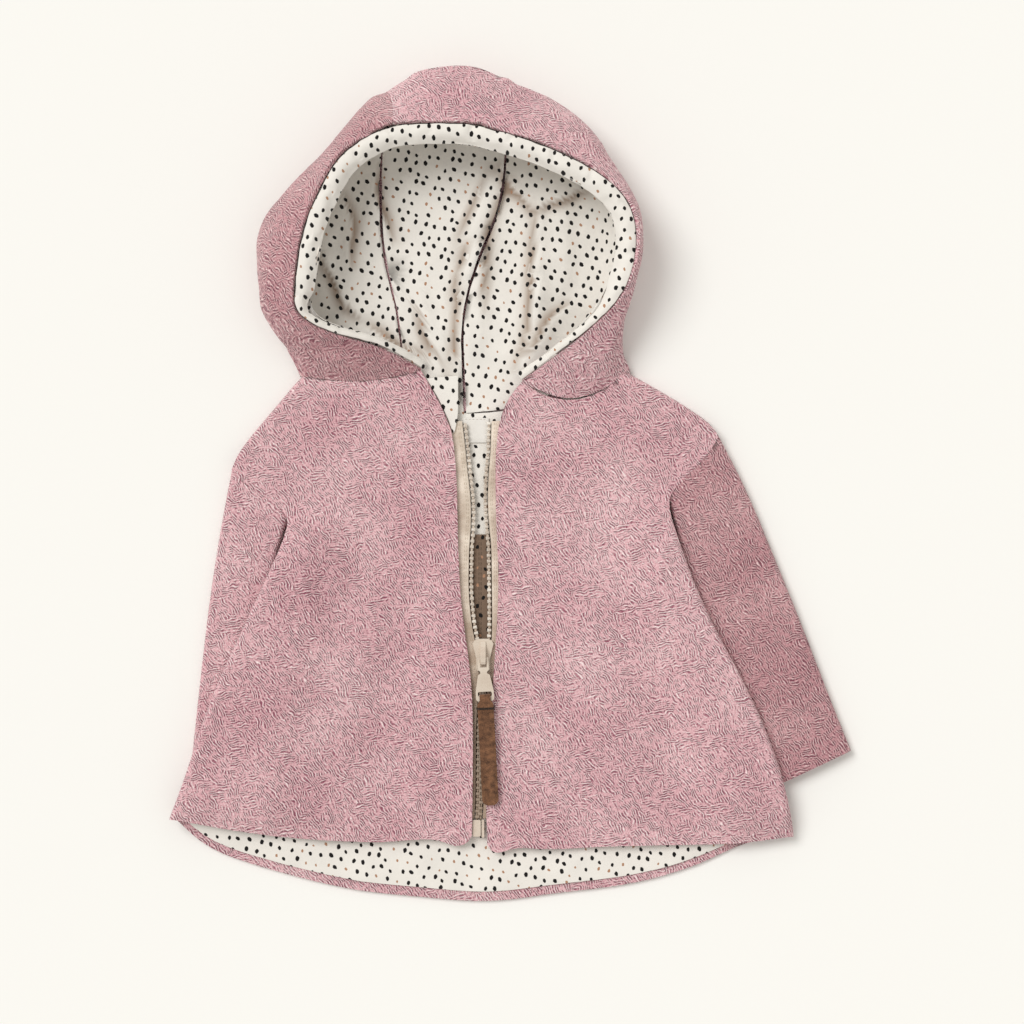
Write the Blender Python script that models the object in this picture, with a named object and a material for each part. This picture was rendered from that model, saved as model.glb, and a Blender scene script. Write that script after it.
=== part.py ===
"""Child's hooded jacket in boiled wool, laid flat on its back, zip half open, hood standing open.

Sizes are in millimetres until a mesh is made. +Z is up, +Y runs to the hood, the origin is under
the middle of the jacket. Right and left are the wearer's: the right front lies at -X.
"""
import math

import bmesh
import bpy
import numpy as np

MM = 0.001

# Cloth
WOOL = 2.5              # wall of the boiled wool
JERSEY = 1.0            # wall of the dotted cotton lining
TAPE = 1.0              # wall of the zip tape
SEAM = 0.3              # gap between two pieces that touch
SOFT_SEAM = 0.5         # the same where both pieces curve

# Body
BODY_THICK = 9.0        # back, lining and front lying on each other
TURN_RADIUS = (BODY_THICK - SEAM) / 2
SLEEVE_THICK = 8.0      # a sleeve laid flat
SLEEVE_CROWN = 1.0      # rise in the middle of a sleeve
SLEEVE_SLOPE = 44.0     # width over which the back climbs onto a sleeve
SLEEVE_CLEAR = 12.0     # it is up this far before the sleeve's edge
ARMHOLE_GAP = 0.6
ARMHOLE_OUT = ((-0.64, -0.77), (0.77, -0.64))   # across the armhole seams, right and left
SHOULDER, UNDERARM = 0.85, 0.73     # levels of the armhole's ends
BACK_NECK_DROP = 25.0
NECK_DROP_RIGHT = 5.0
NECK_DROP_LEFT = 15.0

# Zip
TOOTH_THICK = 2.4
ZIP_HEIGHT = 6.9        # middle of the tapes above the floor
SLIDER_LIFT = 1.5       # the slider holds the tapes up by this much
EDGE_CLEAR = 0.6        # the folded wool edge over the tape
SLIDER_X, SLIDER_Y = -17.8, -112.5
PLATE_THICK = 1.3
BRIDGE_WIDE = 3.4
BRIDGE_RISE = 2.5       # top of the bridge above the pull's axis
TAPE_UNDER = 4.0        # the tapes run this far under the wool
PULL_AXIS_Y = -115.0
PULL_AXIS_Z = 14.7
PULL_THICK = 1.4
PULL_TILT = math.radians(3.0)       # the pull hangs a little to the left side
PULL_BAR = (-24.8, -27.8)           # sides of the bar the leather is folded round, from the axis
TAB_WIDE, TAB_LONG = 10.7, 72.0
TAB_LAYER = 1.1
TAB_CLEAR = 0.35
TAB_SEWN = -40.0        # below this the two layers lie flat on each other
TAB_LOW, TAB_HIGH = -1.95, 0.35     # faces of the sewn part, from the axis
THREAD_AT = -32.5
THREAD_RADIUS = 0.3
# Outlines of the slider and the pull from above, about the slider's middle or the pull's axis.
SLIDER_BODY = (
    (-6.9, 7.3), (-5.6, 9.6), (-3.0, 10.5), (3.0, 10.5), (5.6, 9.6), (6.9, 7.3), (5.4, 1.5), (4.6, -2.5),
    (4.4, -9.7), (3.8, -10.5), (-3.8, -10.5), (-4.4, -9.7), (-4.6, -2.5), (-5.4, 1.5),
)
SLIDER_POST = ((0.0, 2.5), (-1.3, 6.0), (-1.5, 9.5), (1.5, 9.5), (1.3, 6.0))
SLIDER_CHANNEL = (
    (-5.8, 12.5), (5.8, 12.5), (5.8, 10.0), (4.4, 3.5), (2.95, -3.0), (2.95, -12.5), (-2.95, -12.5),
    (-2.95, -3.0), (-4.4, 3.5), (-5.8, 10.0),
)
SLIDER_SLOT = ((-12.0, -12.5), (12.0, -12.5), (12.0, 12.5), (-12.0, 12.5))
# The bridge from the side: y from the pull's axis, and height as a share from the plate to its top.
BRIDGE_ARCH = (
    (-4.4, -0.13), (-4.4, 0.17), (-3.4, 0.87), (-2.0, 1.0), (2.2, 1.0), (4.4, 0.8), (8.0, 0.27),
    (11.2, 0.12), (11.6, -0.13),
)
BRIDGE_WINDOW = ((-2.2, -0.05), (2.4, -0.05), (2.5, 0.72), (1.6, 0.79), (-1.3, 0.81), (-2.3, 0.73))
PULL_OUTLINE = (
    (-3.5, 0.8), (-2.7, 1.2), (2.7, 1.2), (3.5, 0.8), (3.5, -7.2), (2.2, -8.6), (2.2, -9.6), (3.9, -10.6),
    (5.9, -21.0), (5.9, -26.6), (5.0, -27.8), (-5.0, -27.8), (-5.9, -26.6), (-5.9, -21.0), (-3.9, -10.6),
    (-2.2, -9.6), (-2.2, -8.6), (-3.5, -7.2),
)
PULL_LOOP = ((-2.25, -0.8), (-2.25, -5.6), (2.25, -5.6), (2.25, -0.8))
PULL_EYE = (9.2, 3.2, -23.2)        # width, length and middle of the hole for the leather
ZIP_BOX, BOX_AT = (5.4, 11.0, 4.0), (-22.1, -227.3)
ZIP_PIN, PIN_AT = (1.8, 12.0, 2.0), (-18.0, -227.6)
UNDERFLAP = ((-33.0, -7.0), (-215.0, -33.0))    # x and y of its sides
LABEL = ((-31.0, -14.0), (27.8, 44.2))
GUARD_LEVELS, GUARD_X = (0.872, 0.985), -36.3   # the chin guard's reach up the edge and its free side

# Hood
LINING_SEAM = 0.5       # the linings stop this far short of the seams between them
LINING_STOP = 0.08      # the hood lining's sides stop this share of its length above the neck seam
HOOD_GAP = 0.8          # between the wool and the lining of the hood
ROLL_WIDE = 13.0        # rolled edge along the top and sides of the opening
ROLL_NARROW = 5.0       # the same along its lower edges
ROLL_RISE = 3.0
ROLL_DROP = 5.0
ROLL_START = 0.9        # from the wool to the roll
ROLL_GAP = 1.2          # from the roll down to the lining

# Side edges of the body, hem to neck. turn: 1 where the edge is a fold, 0 along the armhole.
SIDE_COLUMNS = ("level", "x", "y", "turn")
SIDE_RIGHT = (
    (0.00, -225, -221, 1), (0.10, -214, -192, 1), (0.20, -205, -163, 1), (0.32, -193, -131, 1),
    (0.44, -178, -99, 1), (0.56, -163, -66, 1), (0.66, -152, -42, 1), (0.73, -146, -22, 0.1),
    (0.79, -165, -6, 0), (0.85, -184, 10, 0), (0.89, -175, 28, 1), (0.95, -157, 49, 1),
    (1.00, -139, 71, 1),
)
SIDE_LEFT = (
    (0.00, 188, -233, 1), (0.10, 183, -206, 1), (0.20, 176, -181, 1), (0.32, 162, -146, 1),
    (0.44, 144, -111, 1), (0.56, 126, -76, 1), (0.66, 113, -41, 1), (0.73, 104, -10, 0.1),
    (0.79, 120, 9, 0), (0.85, 138, 32, 0), (0.89, 125, 46, 1), (0.95, 101, 61, 1),
    (1.00, 80, 73, 1),
)
# Zip edges of the fronts, hem to neck.
EDGE_COLUMNS = ("level", "x", "y")
EDGE_RIGHT = (
    (0.00, -25.2, -233), (0.24, -24.4, -159), (0.37, -26.4, -119), (0.49, -32.3, -82),
    (0.60, -34.0, -50), (0.79, -35.6, 8), (0.87, -38.3, 33), (0.93, -45.5, 52), (1.00, -58.7, 75),
)
EDGE_LEFT = (
    (0.00, -15.0, -239), (0.12, -16.0, -201), (0.27, -12.6, -155), (0.40, -10.2, -115),
    (0.57, -7.4, -64), (0.70, -9.2, -23), (0.80, -9.6, 10), (0.89, -7.9, 36), (0.95, -3.3, 54),
    (1.00, 8.0, 68),
)
# How far the hems hang below a straight line, from the right side seam or from the zip to the side.
HEM_COLUMNS = ("part", "drop")
HEM_BACK = (
    (0.00, 0), (0.03, 13), (0.065, 22), (0.12, 29), (0.21, 38), (0.30, 45), (0.42, 48), (0.50, 50),
    (0.61, 43), (0.73, 36), (0.80, 29), (0.86, 20), (0.91, 9), (0.95, 3), (1.00, 0),
)
HEM_RIGHT = (
    (0.00, 1), (0.03, 6), (0.065, 7), (0.10, 3.5), (0.15, 3), (0.32, 7.5), (0.57, 8), (0.80, 5), (1.00, 0),
)
HEM_LEFT = (
    (0.00, 1), (0.03, 5.5), (0.065, 3), (0.10, 1.5), (0.20, 3.5), (0.45, 2.5), (0.80, 3.5), (1.00, 0),
)
# Long soft folds of the fronts: a crest from one point to another.
FOLD_COLUMNS = ("x1", "y1", "x2", "y2", "width", "height")
FOLDS = (
    (-98, -40, -116, -240, 17, 2.6), (-140, -50, -172, -235, 14, 1.6),
    (50, -30, 84, -245, 18, 2.6), (118, -120, 150, -245, 13, 1.6), (-70, -130, -62, -245, 10, 1.2),
    (12, -60, 22, -245, 12, 1.0),
)
# Sleeves, armhole to cuff: outer edge, edge on the body's side, thickness.
SLEEVE_COLUMNS = ("along", "outer_x", "outer_y", "inner_x", "inner_y", "thick")
SLEEVE_RIGHT = (
    (0.00, -184, 10, -146, -22, 9), (0.10, -188, -9, -154, -43, 8.6), (0.25, -194, -42, -158, -66, 8),
    (0.50, -202, -99, -160, -113, 8), (0.75, -208, -154, -162, -162, 8), (1.00, -213, -199, -163, -202, 8),
)
SLEEVE_LEFT = (
    (0.00, 138, 32, 104, -10, 9), (0.10, 153, 5, 113, -38, 8.6), (0.25, 171, -38, 115, -65, 8),
    (0.50, 193, -92, 132, -113, 8), (0.75, 211, -139, 150, -161, 8), (1.00, 226, -176, 164, -205, 8),
)
# Hood panels: a row runs from the centre seam round the outside to the rim.
# seam, floor (where the cloth leaves the floor), bulge, brow and rim are points (x, y, z).
HOOD_ACROSS = (0.0, 0.36, 0.5, 0.66, 1.0)
HOOD_COLUMNS = ("along", "seam", "floor", "bulge", "brow", "rim")
HOOD_RIGHT = (
    (0.00, (-76.5, 234, 50), (-80.5, 233, 50), (-83.5, 231, 50), (-86, 230, 50), (-92, 227, 50)),
    (0.06, (-76, 246, 42), (-85, 245, 42), (-91, 242, 43), (-95, 235.5, 46), (-104, 220, 50)),
    (0.13, (-82, 259, 24), (-88.5, 257, 24), (-93, 253, 27), (-104, 233, 42), (-117, 207.5, 50)),
    (0.20, (-82, 247, 3), (-101, 239, 8), (-121, 220.5, 24), (-127, 202.5, 41), (-128.5, 185, 50)),
    (0.32, (-86, 221, 0), (-129, 196, 2), (-157.5, 185, 22), (-150, 173, 41), (-135.5, 164.5, 50)),
    (0.45, (-86, 184, 0), (-140, 160, 0), (-168.5, 153, 20), (-160, 146, 39), (-139.5, 140, 49)),
    (0.59, (-83, 147, 0), (-142, 125, 0), (-168.5, 124, 18), (-161, 117.5, 35), (-142, 114.5, 45)),
    (0.74, (-74, 112, 0), (-138, 100, 0), (-158.5, 101, 15), (-146, 98, 31), (-120, 97.5, 38)),
    (0.88, (-71, 79, 0), (-134, 84, 0), (-146, 87, 9), (-128, 83, 21), (-85, 89, 25)),
)
HOOD_LEFT = (
    (0.00, (-18.5, 234, 50), (-14.5, 232, 50), (-11.5, 231, 50), (-8.5, 230, 50), (-3, 228, 50)),
    (0.06, (-13, 247, 43), (-4, 245, 43), (3, 242, 44), (8, 235.5, 46), (13.5, 224, 50)),
    (0.13, (-7, 268, 24), (3, 266, 24), (13, 260.5, 27), (23.5, 242, 42), (29.5, 217.5, 50)),
    (0.20, (-6, 255, 3), (24, 245, 8), (47, 242, 24), (50, 226, 41), (49, 208.5, 50)),
    (0.31, (-2, 229, 0), (48, 210, 2), (74, 204, 23), (73, 199, 40), (67.5, 197, 50)),
    (0.43, (-4, 194, 0), (62, 180, 0), (85, 179.5, 22), (86, 178, 37), (82, 178.5, 49)),
    (0.55, (-17, 158, 0), (65, 151, 0), (85.5, 158, 20), (87.5, 155, 35), (85, 156.5, 46)),
    (0.67, (-28, 128, 0), (62, 128, 0), (82, 133, 18), (84, 129.5, 33), (78.5, 128, 42)),
    (0.79, (-32, 102, 0), (61, 106, 0), (76, 111, 15), (73, 103, 29), (59, 105.5, 36)),
    (0.90, (-31, 75, 0), (63, 88, 0), (75, 90, 9), (66, 83, 21), (33, 85.5, 25)),
)
CROWN_BULGE_COLUMNS = ("along", "out")
CROWN_BULGE = ((0.0, 1), (0.06, 6), (0.13, 11), (0.20, 11), (0.32, 3), (0.45, 0), (1.0, 0))

# The zip, hem to neck: the middle of each row of teeth, and how wide a row is.
ZIP_COLUMNS = ("y", "right", "left", "wide")
ZIP = (
    (-221, -22.2, -19.5, 2.3), (-208, -21.5, -18.8, 2.3), (-165, -21.1, -18.4, 2.3),
    (-124, -19.15, -16.45, 2.3), (-116, -19.15, -16.45, 2.3), (-109, -20.4, -15.2, 2.7),
    (-102, -21.7, -13.9, 3.0), (-88, -24.2, -13.6, 3.0), (-66, -25.7, -13.8, 3.0),
    (-40, -25.2, -14.2, 3.0), (-24, -23.9, -15.9, 3.0), (-8, -24.4, -16.5, 3.0),
    (8, -26.4, -15.8, 3.0), (23, -27.7, -14.5, 3.0), (42, -30.0, -14.0, 3.0),
)

# Mesh density of the large pieces.
SIDE_ARC = (0.25, 0.5, 0.75, 1.0)
BODY_LEVELS = (0.0, 0.015, 0.05, 0.12, 0.20, 0.28, 0.36, 0.44, 0.52, 0.60, 0.66, 0.70, 0.73, 0.76, 0.79,
               0.82, 0.85, 0.87, 0.89, 0.93, 0.97, 1.0)
FRONT_COLUMNS = (0.0, 0.03, 0.065, 0.10, 0.15, 0.22, 0.30, 0.39, 0.48, 0.57, 0.66, 0.75, 0.84, 0.92, 1.0)
FRONT_FLAT = 0.86       # share of a front that is flat, up to its turned side
BACK_FLAT = 0.9
BACK_COLUMNS = (0.0, 0.03, 0.065, 0.12, 0.18, 0.24, 0.30, 0.36, 0.42, 0.48, 0.54, 0.61, 0.67, 0.73, 0.79,
                0.86, 0.91, 0.95, 1.0)
HOOD_ROWS = 17
NECK_SEAMS = (-68.0, -30.0)         # x where the hood's seams meet the back neck, right and left
NECK_TURN = (0.0, 0.43, 0.5, 0.58, 1.0)     # shares of a panel's neck edge: back, round the fold, front
PANEL_GAP = 0.002       # share of a hood panel's width left open at its seam
STRIP_GAP = 0.008       # the same for the centre strip
HOOD_STEPS = (0.0, 0.12, 0.24, 0.36, 0.43, 0.5, 0.58, 0.66, 0.77, 0.88, 1.0)
SLEEVE_RINGS = 9
ROLL_STEPS = 46

looks = {}


def look(name, colour, roughness, metallic=0.0):
    """One plain material, made the first time it is asked for."""
    if name not in looks:
        material = bpy.data.materials.new(name)
        material.use_nodes = True
        shader = material.node_tree.nodes["Principled BSDF"]
        shader.inputs["Base Color"].default_value = (*colour, 1.0)
        shader.inputs["Roughness"].default_value = roughness
        shader.inputs["Metallic"].default_value = metallic
        looks[name] = material
    return looks[name]


def wool():
    return look("boiled_wool", (0.57, 0.36, 0.37), 0.95)


def jersey():
    return look("dotted_jersey", (0.84, 0.81, 0.75), 0.85)


def tape():
    return look("zip_tape", (0.70, 0.60, 0.50), 0.9)


def plastic():
    return look("moulded_plastic", (0.66, 0.57, 0.47), 0.45)


def leather():
    return look("leather", (0.22, 0.11, 0.06), 0.6)


def smooth(value):
    value = np.clip(value, 0.0, 1.0)
    return value * value * (3.0 - 2.0 * value)


def through(keys, values, where):
    """Smooth curve through the rows of a table that never swings past them."""
    keys = np.asarray(keys, float)
    values = np.asarray(values, float)
    flat = values.reshape(len(keys), -1)
    steps = np.diff(keys)[:, None]
    slopes = np.diff(flat, axis=0) / steps
    tangents = np.zeros_like(flat)
    tangents[0], tangents[-1] = slopes[0], slopes[-1]
    before, after = slopes[:-1], slopes[1:]
    same_way = before * after > 0
    heavy, light = 2 * steps[1:] + steps[:-1], steps[1:] + 2 * steps[:-1]
    safe_before = np.where(same_way, before, 1.0)
    safe_after = np.where(same_way, after, 1.0)
    blended = (heavy + light) / (heavy / safe_before + light / safe_after)
    tangents[1:-1] = np.where(same_way, blended, 0.0)
    where = np.atleast_1d(np.clip(where, keys[0], keys[-1]))
    cell = np.clip(np.searchsorted(keys, where, side="right") - 1, 0, len(keys) - 2)
    width = steps[cell]
    t = ((where - keys[cell]) / width[:, 0])[:, None]
    result = ((2 * t**3 - 3 * t**2 + 1) * flat[cell] + (t**3 - 2 * t**2 + t) * width * tangents[cell]
              + (3 * t**2 - 2 * t**3) * flat[cell + 1] + (t**3 - t**2) * width * tangents[cell + 1])
    return result.reshape((len(where),) + values.shape[1:])


def read(table, columns, key, name, where):
    """One column of a table, read between its rows."""
    keys = [row[columns.index(key)] for row in table]
    values = [row[columns.index(name)] for row in table]
    return through(keys, values, where)


def side_point(table, level):
    return np.array([read(table, SIDE_COLUMNS, "level", name, level)[0] for name in ("x", "y", "turn")])


def edge_point(table, level):
    return np.array([read(table, EDGE_COLUMNS, "level", name, level)[0] for name in ("x", "y")])


def sleeve_edge(table, y):
    """x of a sleeve's hidden edge at height y."""
    rows = sorted((row[4], row[3]) for row in table)
    return through([row[0] for row in rows], [row[1] for row in rows], y)[0]


def support(x, y):
    """How high the sleeves hold the back at a point of the floor."""
    full = SLEEVE_THICK + SLEEVE_CROWN + SEAM
    lift = 0.0
    for table, sign, start, hem in ((SLEEVE_RIGHT, -1, -8.0, -240.0), (SLEEVE_LEFT, 1, 2.0, -238.0)):
        rise = smooth((start - y) / 38.0) * smooth((y - hem) / 25.0)
        inward = sign * (sleeve_edge(table, y) - x)
        lift += full * rise * smooth((SLEEVE_SLOPE + SLEEVE_CLEAR - inward) / SLEEVE_SLOPE)
    return float(lift)


def fold_rise(x, y):
    rise = 0.0
    for x1, y1, x2, y2, width, height in FOLDS:
        run = np.array((x2 - x1, y2 - y1))
        length = np.linalg.norm(run)
        run = run / length
        along = (x - x1) * run[0] + (y - y1) * run[1]
        off = (x - x1) * run[1] - (y - y1) * run[0]
        rise += height * math.exp(-((off / width) ** 2)) * float(smooth(along / (0.55 * length)))
    return rise


def zip_height(y):
    """Middle of the tapes: the slider lifts them."""
    return ZIP_HEIGHT + SLIDER_LIFT * float(smooth((40.0 - abs(y - SLIDER_Y)) / 32.0))


def edge_start(side):
    """x where the turned part of a side begins."""
    x, _, turn = side
    angle = math.radians(90.0) * turn
    inward = TURN_RADIUS * (math.sin(angle) + math.radians(90.0) - angle)
    return x - math.copysign(inward, x)


def turned(side, part, inset):
    """x and the depth of a point on the turned part of a side: flat first, then round the fold."""
    x, _, turn = side
    angle = math.radians(90.0) * turn
    flat = TURN_RADIUS * (math.radians(90.0) - angle)
    run = TURN_RADIUS * math.radians(90.0) * part
    bend = max(0.0, run - flat) / TURN_RADIUS
    radius = TURN_RADIUS - inset
    reach = min(run, flat) + radius * math.sin(bend)
    return edge_start(side) + math.copysign(reach, x), inset + radius * (1.0 - math.cos(bend))


def front_point(tables, neck_drop, across, level, inset):
    """A front, inset from its outer face. across: 0 at the zip, 1 at the side seam or armhole."""
    table, edge_table, hem = tables
    side = side_point(table, level)
    edge = edge_point(edge_table, level)
    x, depth = turned(side, max(0.0, across - FRONT_FLAT) / (1.0 - FRONT_FLAT), inset)
    part = min(1.0, across / FRONT_FLAT)
    if part < 1.0:
        x = edge[0] + (edge_start(side) - edge[0]) * part
    y = edge[1] + (side[1] - edge[1]) * part - neck_drop * 4.0 * part * (1.0 - part) * level**8
    y -= read(hem, HEM_COLUMNS, "part", "drop", part)[0] * (1.0 - level) ** 3
    from_side = abs(x - side[0])
    zip_top = zip_height(y) + TAPE / 2 + EDGE_CLEAR + WOOL - BODY_THICK
    extra = zip_top * float(smooth((34.0 - abs(x - edge[0])) / 26.0))
    fade = float(smooth((from_side - 4.0) / 18.0))
    extra += fold_rise(x, y) * fade * float(smooth(abs(x - edge[0]) / 16.0))
    z = support(x, y) + BODY_THICK + extra * (1.0 if abs(x - edge[0]) < 30.0 else fade)
    return np.array((x, y, z - depth))


def front_right(across, level, inset=0.0):
    return front_point((SIDE_RIGHT, EDGE_RIGHT, HEM_RIGHT), NECK_DROP_RIGHT, across, level, inset)


def front_left(across, level, inset=0.0):
    return front_point((SIDE_LEFT, EDGE_LEFT, HEM_LEFT), NECK_DROP_LEFT, across, level, inset)


def back_point(across, level, inset=0.0):
    """The back, inset from its under face. across: -1 at the right side seam, 1 at the left."""
    right, left = side_point(SIDE_RIGHT, level), side_point(SIDE_LEFT, level)
    side_part = max(0.0, abs(across) - BACK_FLAT) / (1.0 - BACK_FLAT)
    x, depth = turned(right if across < 0 else left, side_part, inset)
    part = float(np.clip((across / BACK_FLAT + 1.0) / 2.0, 0.0, 1.0))
    if 0.0 < part < 1.0:
        x = edge_start(right) + (edge_start(left) - edge_start(right)) * part
    y = right[1] + (left[1] - right[1]) * part - BACK_NECK_DROP * 4.0 * part * (1.0 - part) * level**8
    y -= read(HEM_BACK, HEM_COLUMNS, "part", "drop", part)[0] * (1.0 - level) ** 3
    return np.array((x, y, support(x, y) + depth))


def grid(point, across, along, inset):
    """Points of a surface: a row for each step along it."""
    return np.array([[point(u, v, inset) for u in across] for v in along])


def normals(points):
    """Unit normals of a grid of points: row direction x column direction."""
    run = np.gradient(points, axis=1)
    climb = np.gradient(points, axis=0)
    facing = np.cross(run, climb)
    facing = facing / np.maximum(np.linalg.norm(facing, axis=2, keepdims=True), 1e-9)
    for axis in (0, 1):
        facing = np.stack([np.apply_along_axis(np.convolve, axis, np.pad(facing[..., part], 1, "edge"),
                                               (0.25, 0.5, 0.25), "valid") for part in range(3)], axis=-1)
        facing = facing[:, 1:-1] if axis == 0 else facing[1:-1]
    return facing / np.linalg.norm(facing, axis=2, keepdims=True)


def moved_in(points, facing, distance):
    """The same grid moved off its outer face. facing: 1 if its normals point out, else -1."""
    return points - normals(points) * facing * distance


def place(thing):
    """Puts a new object into the jacket's collection and gives it back."""
    for collection in thing.users_collection:
        collection.objects.unlink(thing)
    jacket.objects.link(thing)
    return thing


def shell(name, outer, inner, facing, material):
    """Cloth: a wall between two grids of points. facing: 1 if the outer grid's normals point out."""
    rows, columns = outer.shape[:2]
    mesh = bpy.data.meshes.new(name)
    bm = bmesh.new()
    skins = []
    for points in (outer, inner):
        made = bmesh.ops.create_grid(bm, x_segments=columns - 1, y_segments=rows - 1, size=1.0)["verts"]
        for vertex, point in zip(made, points.reshape(-1, 3)):
            vertex.co = point * MM
        skins.append(made)
    turned_faces = {face for vertex in skins[1 if facing > 0 else 0] for face in vertex.link_faces}
    bmesh.ops.reverse_faces(bm, faces=list(turned_faces))
    border = (list(range(columns)) + [row * columns + columns - 1 for row in range(1, rows)]
              + list(range(rows * columns - 2, (rows - 1) * columns - 1, -1))
              + [row * columns for row in range(rows - 2, 0, -1)])
    for here, after in zip(border, border[1:] + border[:1]):
        corners = (skins[0][after], skins[0][here], skins[1][here], skins[1][after])
        bm.faces.new(corners if facing > 0 else corners[::-1])
    bmesh.ops.remove_doubles(bm, verts=bm.verts, dist=0.00001)
    bm.to_mesh(mesh)
    bm.free()
    mesh.shade_smooth()
    mesh.materials.append(material)
    return place(bpy.data.objects.new(name, mesh))


def tube(name, outer, inner, facing, material):
    """Cloth sewn to a tube: rings of outer points and of inner points, joined at both ends."""
    rings, around = outer.shape[:2]
    mesh = bpy.data.meshes.new(name)
    bm = bmesh.new()
    skins = [[bm.verts.new(point * MM) for point in points.reshape(-1, 3)] for points in (outer, inner)]
    for step in range(around):
        after = (step + 1) % around
        for ring in range(rings - 1):
            low, high = ring * around, (ring + 1) * around
            for skin, flip in ((skins[0], facing < 0), (skins[1], facing > 0)):
                corners = [skin[low + step], skin[low + after], skin[high + after], skin[high + step]]
                bm.faces.new(corners[::-1] if flip else corners)
        for ring, flip in ((0, facing > 0), (rings - 1, facing < 0)):
            start = ring * around
            corners = [skins[0][start + step], skins[0][start + after],
                       skins[1][start + after], skins[1][start + step]]
            bm.faces.new(corners[::-1] if flip else corners)
    bm.to_mesh(mesh)
    bm.free()
    mesh.shade_smooth()
    mesh.materials.append(material)
    return place(bpy.data.objects.new(name, mesh))


def plate(name, outlines, thick, centre, material):
    """A flat piece: closed outlines in x and y, holes after the first, thick along z."""
    drawing = bpy.data.curves.new(name, "CURVE")
    drawing.dimensions = "2D"
    drawing.fill_mode = "BOTH"
    drawing.extrude = thick / 2 * MM
    for outline in outlines:
        spline = drawing.splines.new("POLY")
        spline.points.add(len(outline) - 1)
        for target, (x, y) in zip(spline.points, outline):
            target.co = (x * MM, y * MM, 0.0, 1.0)
        spline.use_cyclic_u = True
    drawn = place(bpy.data.objects.new(name + "_outline", drawing))
    evaluated = drawn.evaluated_get(bpy.context.evaluated_depsgraph_get())
    mesh = bpy.data.meshes.new_from_object(evaluated)
    bpy.data.objects.remove(drawn)
    bm = bmesh.new()
    bm.from_mesh(mesh)
    bmesh.ops.remove_doubles(bm, verts=bm.verts, dist=0.00001)
    bmesh.ops.recalc_face_normals(bm, faces=bm.faces)
    bm.to_mesh(mesh)
    bm.free()
    mesh.name = name
    mesh.materials.clear()
    mesh.materials.append(material)
    piece = place(bpy.data.objects.new(name, mesh))
    piece.location = np.array(centre) * MM
    return piece


def as_cutter(piece):
    jacket.objects.unlink(piece)
    cutters.objects.link(piece)
    piece.hide_render = True
    piece.display_type = "WIRE"
    return piece


def combine(piece, other, operation):
    """Joins a piece with another or cuts it by another."""
    joint = piece.modifiers.new(operation.lower() + "_" + other.name, "BOOLEAN")
    joint.operation = operation
    joint.object = as_cutter(other)


def rounded(wide, long, radius, steps=4):
    """Outline of a rectangle with round corners about (0, 0)."""
    outline = []
    for corner, (sx, sy) in enumerate(((1, 1), (-1, 1), (-1, -1), (1, -1))):
        for step in range(steps + 1):
            angle = math.radians(90.0) * (corner + step / steps)
            outline.append((sx * (wide / 2 - radius) + radius * math.cos(angle),
                            sy * (long / 2 - radius) + radius * math.sin(angle)))
    return outline


def make_body():
    flat = np.array(FRONT_COLUMNS) * FRONT_FLAT
    across = np.append(flat, FRONT_FLAT + (1.0 - FRONT_FLAT) * np.array(SIDE_ARC))
    for name, surface, facing in (("front_right", front_right, -1), ("front_left", front_left, 1)):
        walls = [grid(surface, across, BODY_LEVELS, inset) for inset in (0.0, WOOL)]
        shell(name, *walls, facing, wool())
    middle = (2.0 * np.array(BACK_COLUMNS) - 1.0) * BACK_FLAT
    arc = BACK_FLAT + (1.0 - BACK_FLAT) * np.array(SIDE_ARC)
    across = np.concatenate((-arc[::-1], middle, arc))
    shell("back", *(grid(back_point, across, BODY_LEVELS, inset) for inset in (0.0, WOOL)), -1, wool())
    above_hem = BODY_LEVELS[1:]
    walls = [grid(back_point, middle, above_hem, WOOL + SEAM + inset) for inset in (0.0, JERSEY)]
    shell("back_lining", *walls, -1, jersey())


def armhole(side_table, level):
    """A point of the armhole seam, on the straight runs between the body's levels."""
    ends = np.array([side_point(side_table, step)[:2] for step in BODY_LEVELS])
    return np.array([np.interp(level, BODY_LEVELS, ends[:, axis]) for axis in (0, 1)])


def sleeve_ring(table, side_table, along, inset):
    """A ring round a flat sleeve: over the top from its outer to its inner edge, back underneath."""
    row = [read(table, SLEEVE_COLUMNS, "along", name, along)[0] for name in SLEEVE_COLUMNS[1:]]
    outer, inner, thick = np.array(row[:2]), np.array(row[2:4]), row[4]
    width = np.linalg.norm(inner - outer)
    half = thick / 2
    radius = half - inset
    away = np.array(ARMHOLE_OUT[0] if table is SLEEVE_RIGHT else ARMHOLE_OUT[1])
    at_armhole = float(np.clip(1.0 - along / 0.1, 0.0, 1.0))
    bends = [math.radians(22.5 * step) for step in range(9)]
    flats = [step / 6 for step in range(1, 6)]
    offsets = [(half - radius * math.cos(bend), radius * math.sin(bend)) for bend in bends[:5]]
    offsets += [(half + (width - thick) * part, radius + SLEEVE_CROWN * math.sin(math.pi * part))
                for part in flats]
    offsets += [(width - half + radius * math.sin(bend), radius * math.cos(bend)) for bend in bends]
    offsets += [(width - half - (width - thick) * part, -radius) for part in flats]
    offsets += [(half - radius * math.sin(bend), -radius * math.cos(bend)) for bend in bends[:4]]
    ring = []
    for reach, height in offsets:
        part = reach / width
        plan = outer + (inner - outer) * part
        seam = armhole(side_table, SHOULDER + (UNDERARM - SHOULDER) * part) + away * ARMHOLE_GAP
        plan = plan + (seam - plan) * at_armhole
        ring.append((plan[0], plan[1], half + height))
    return ring


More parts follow.
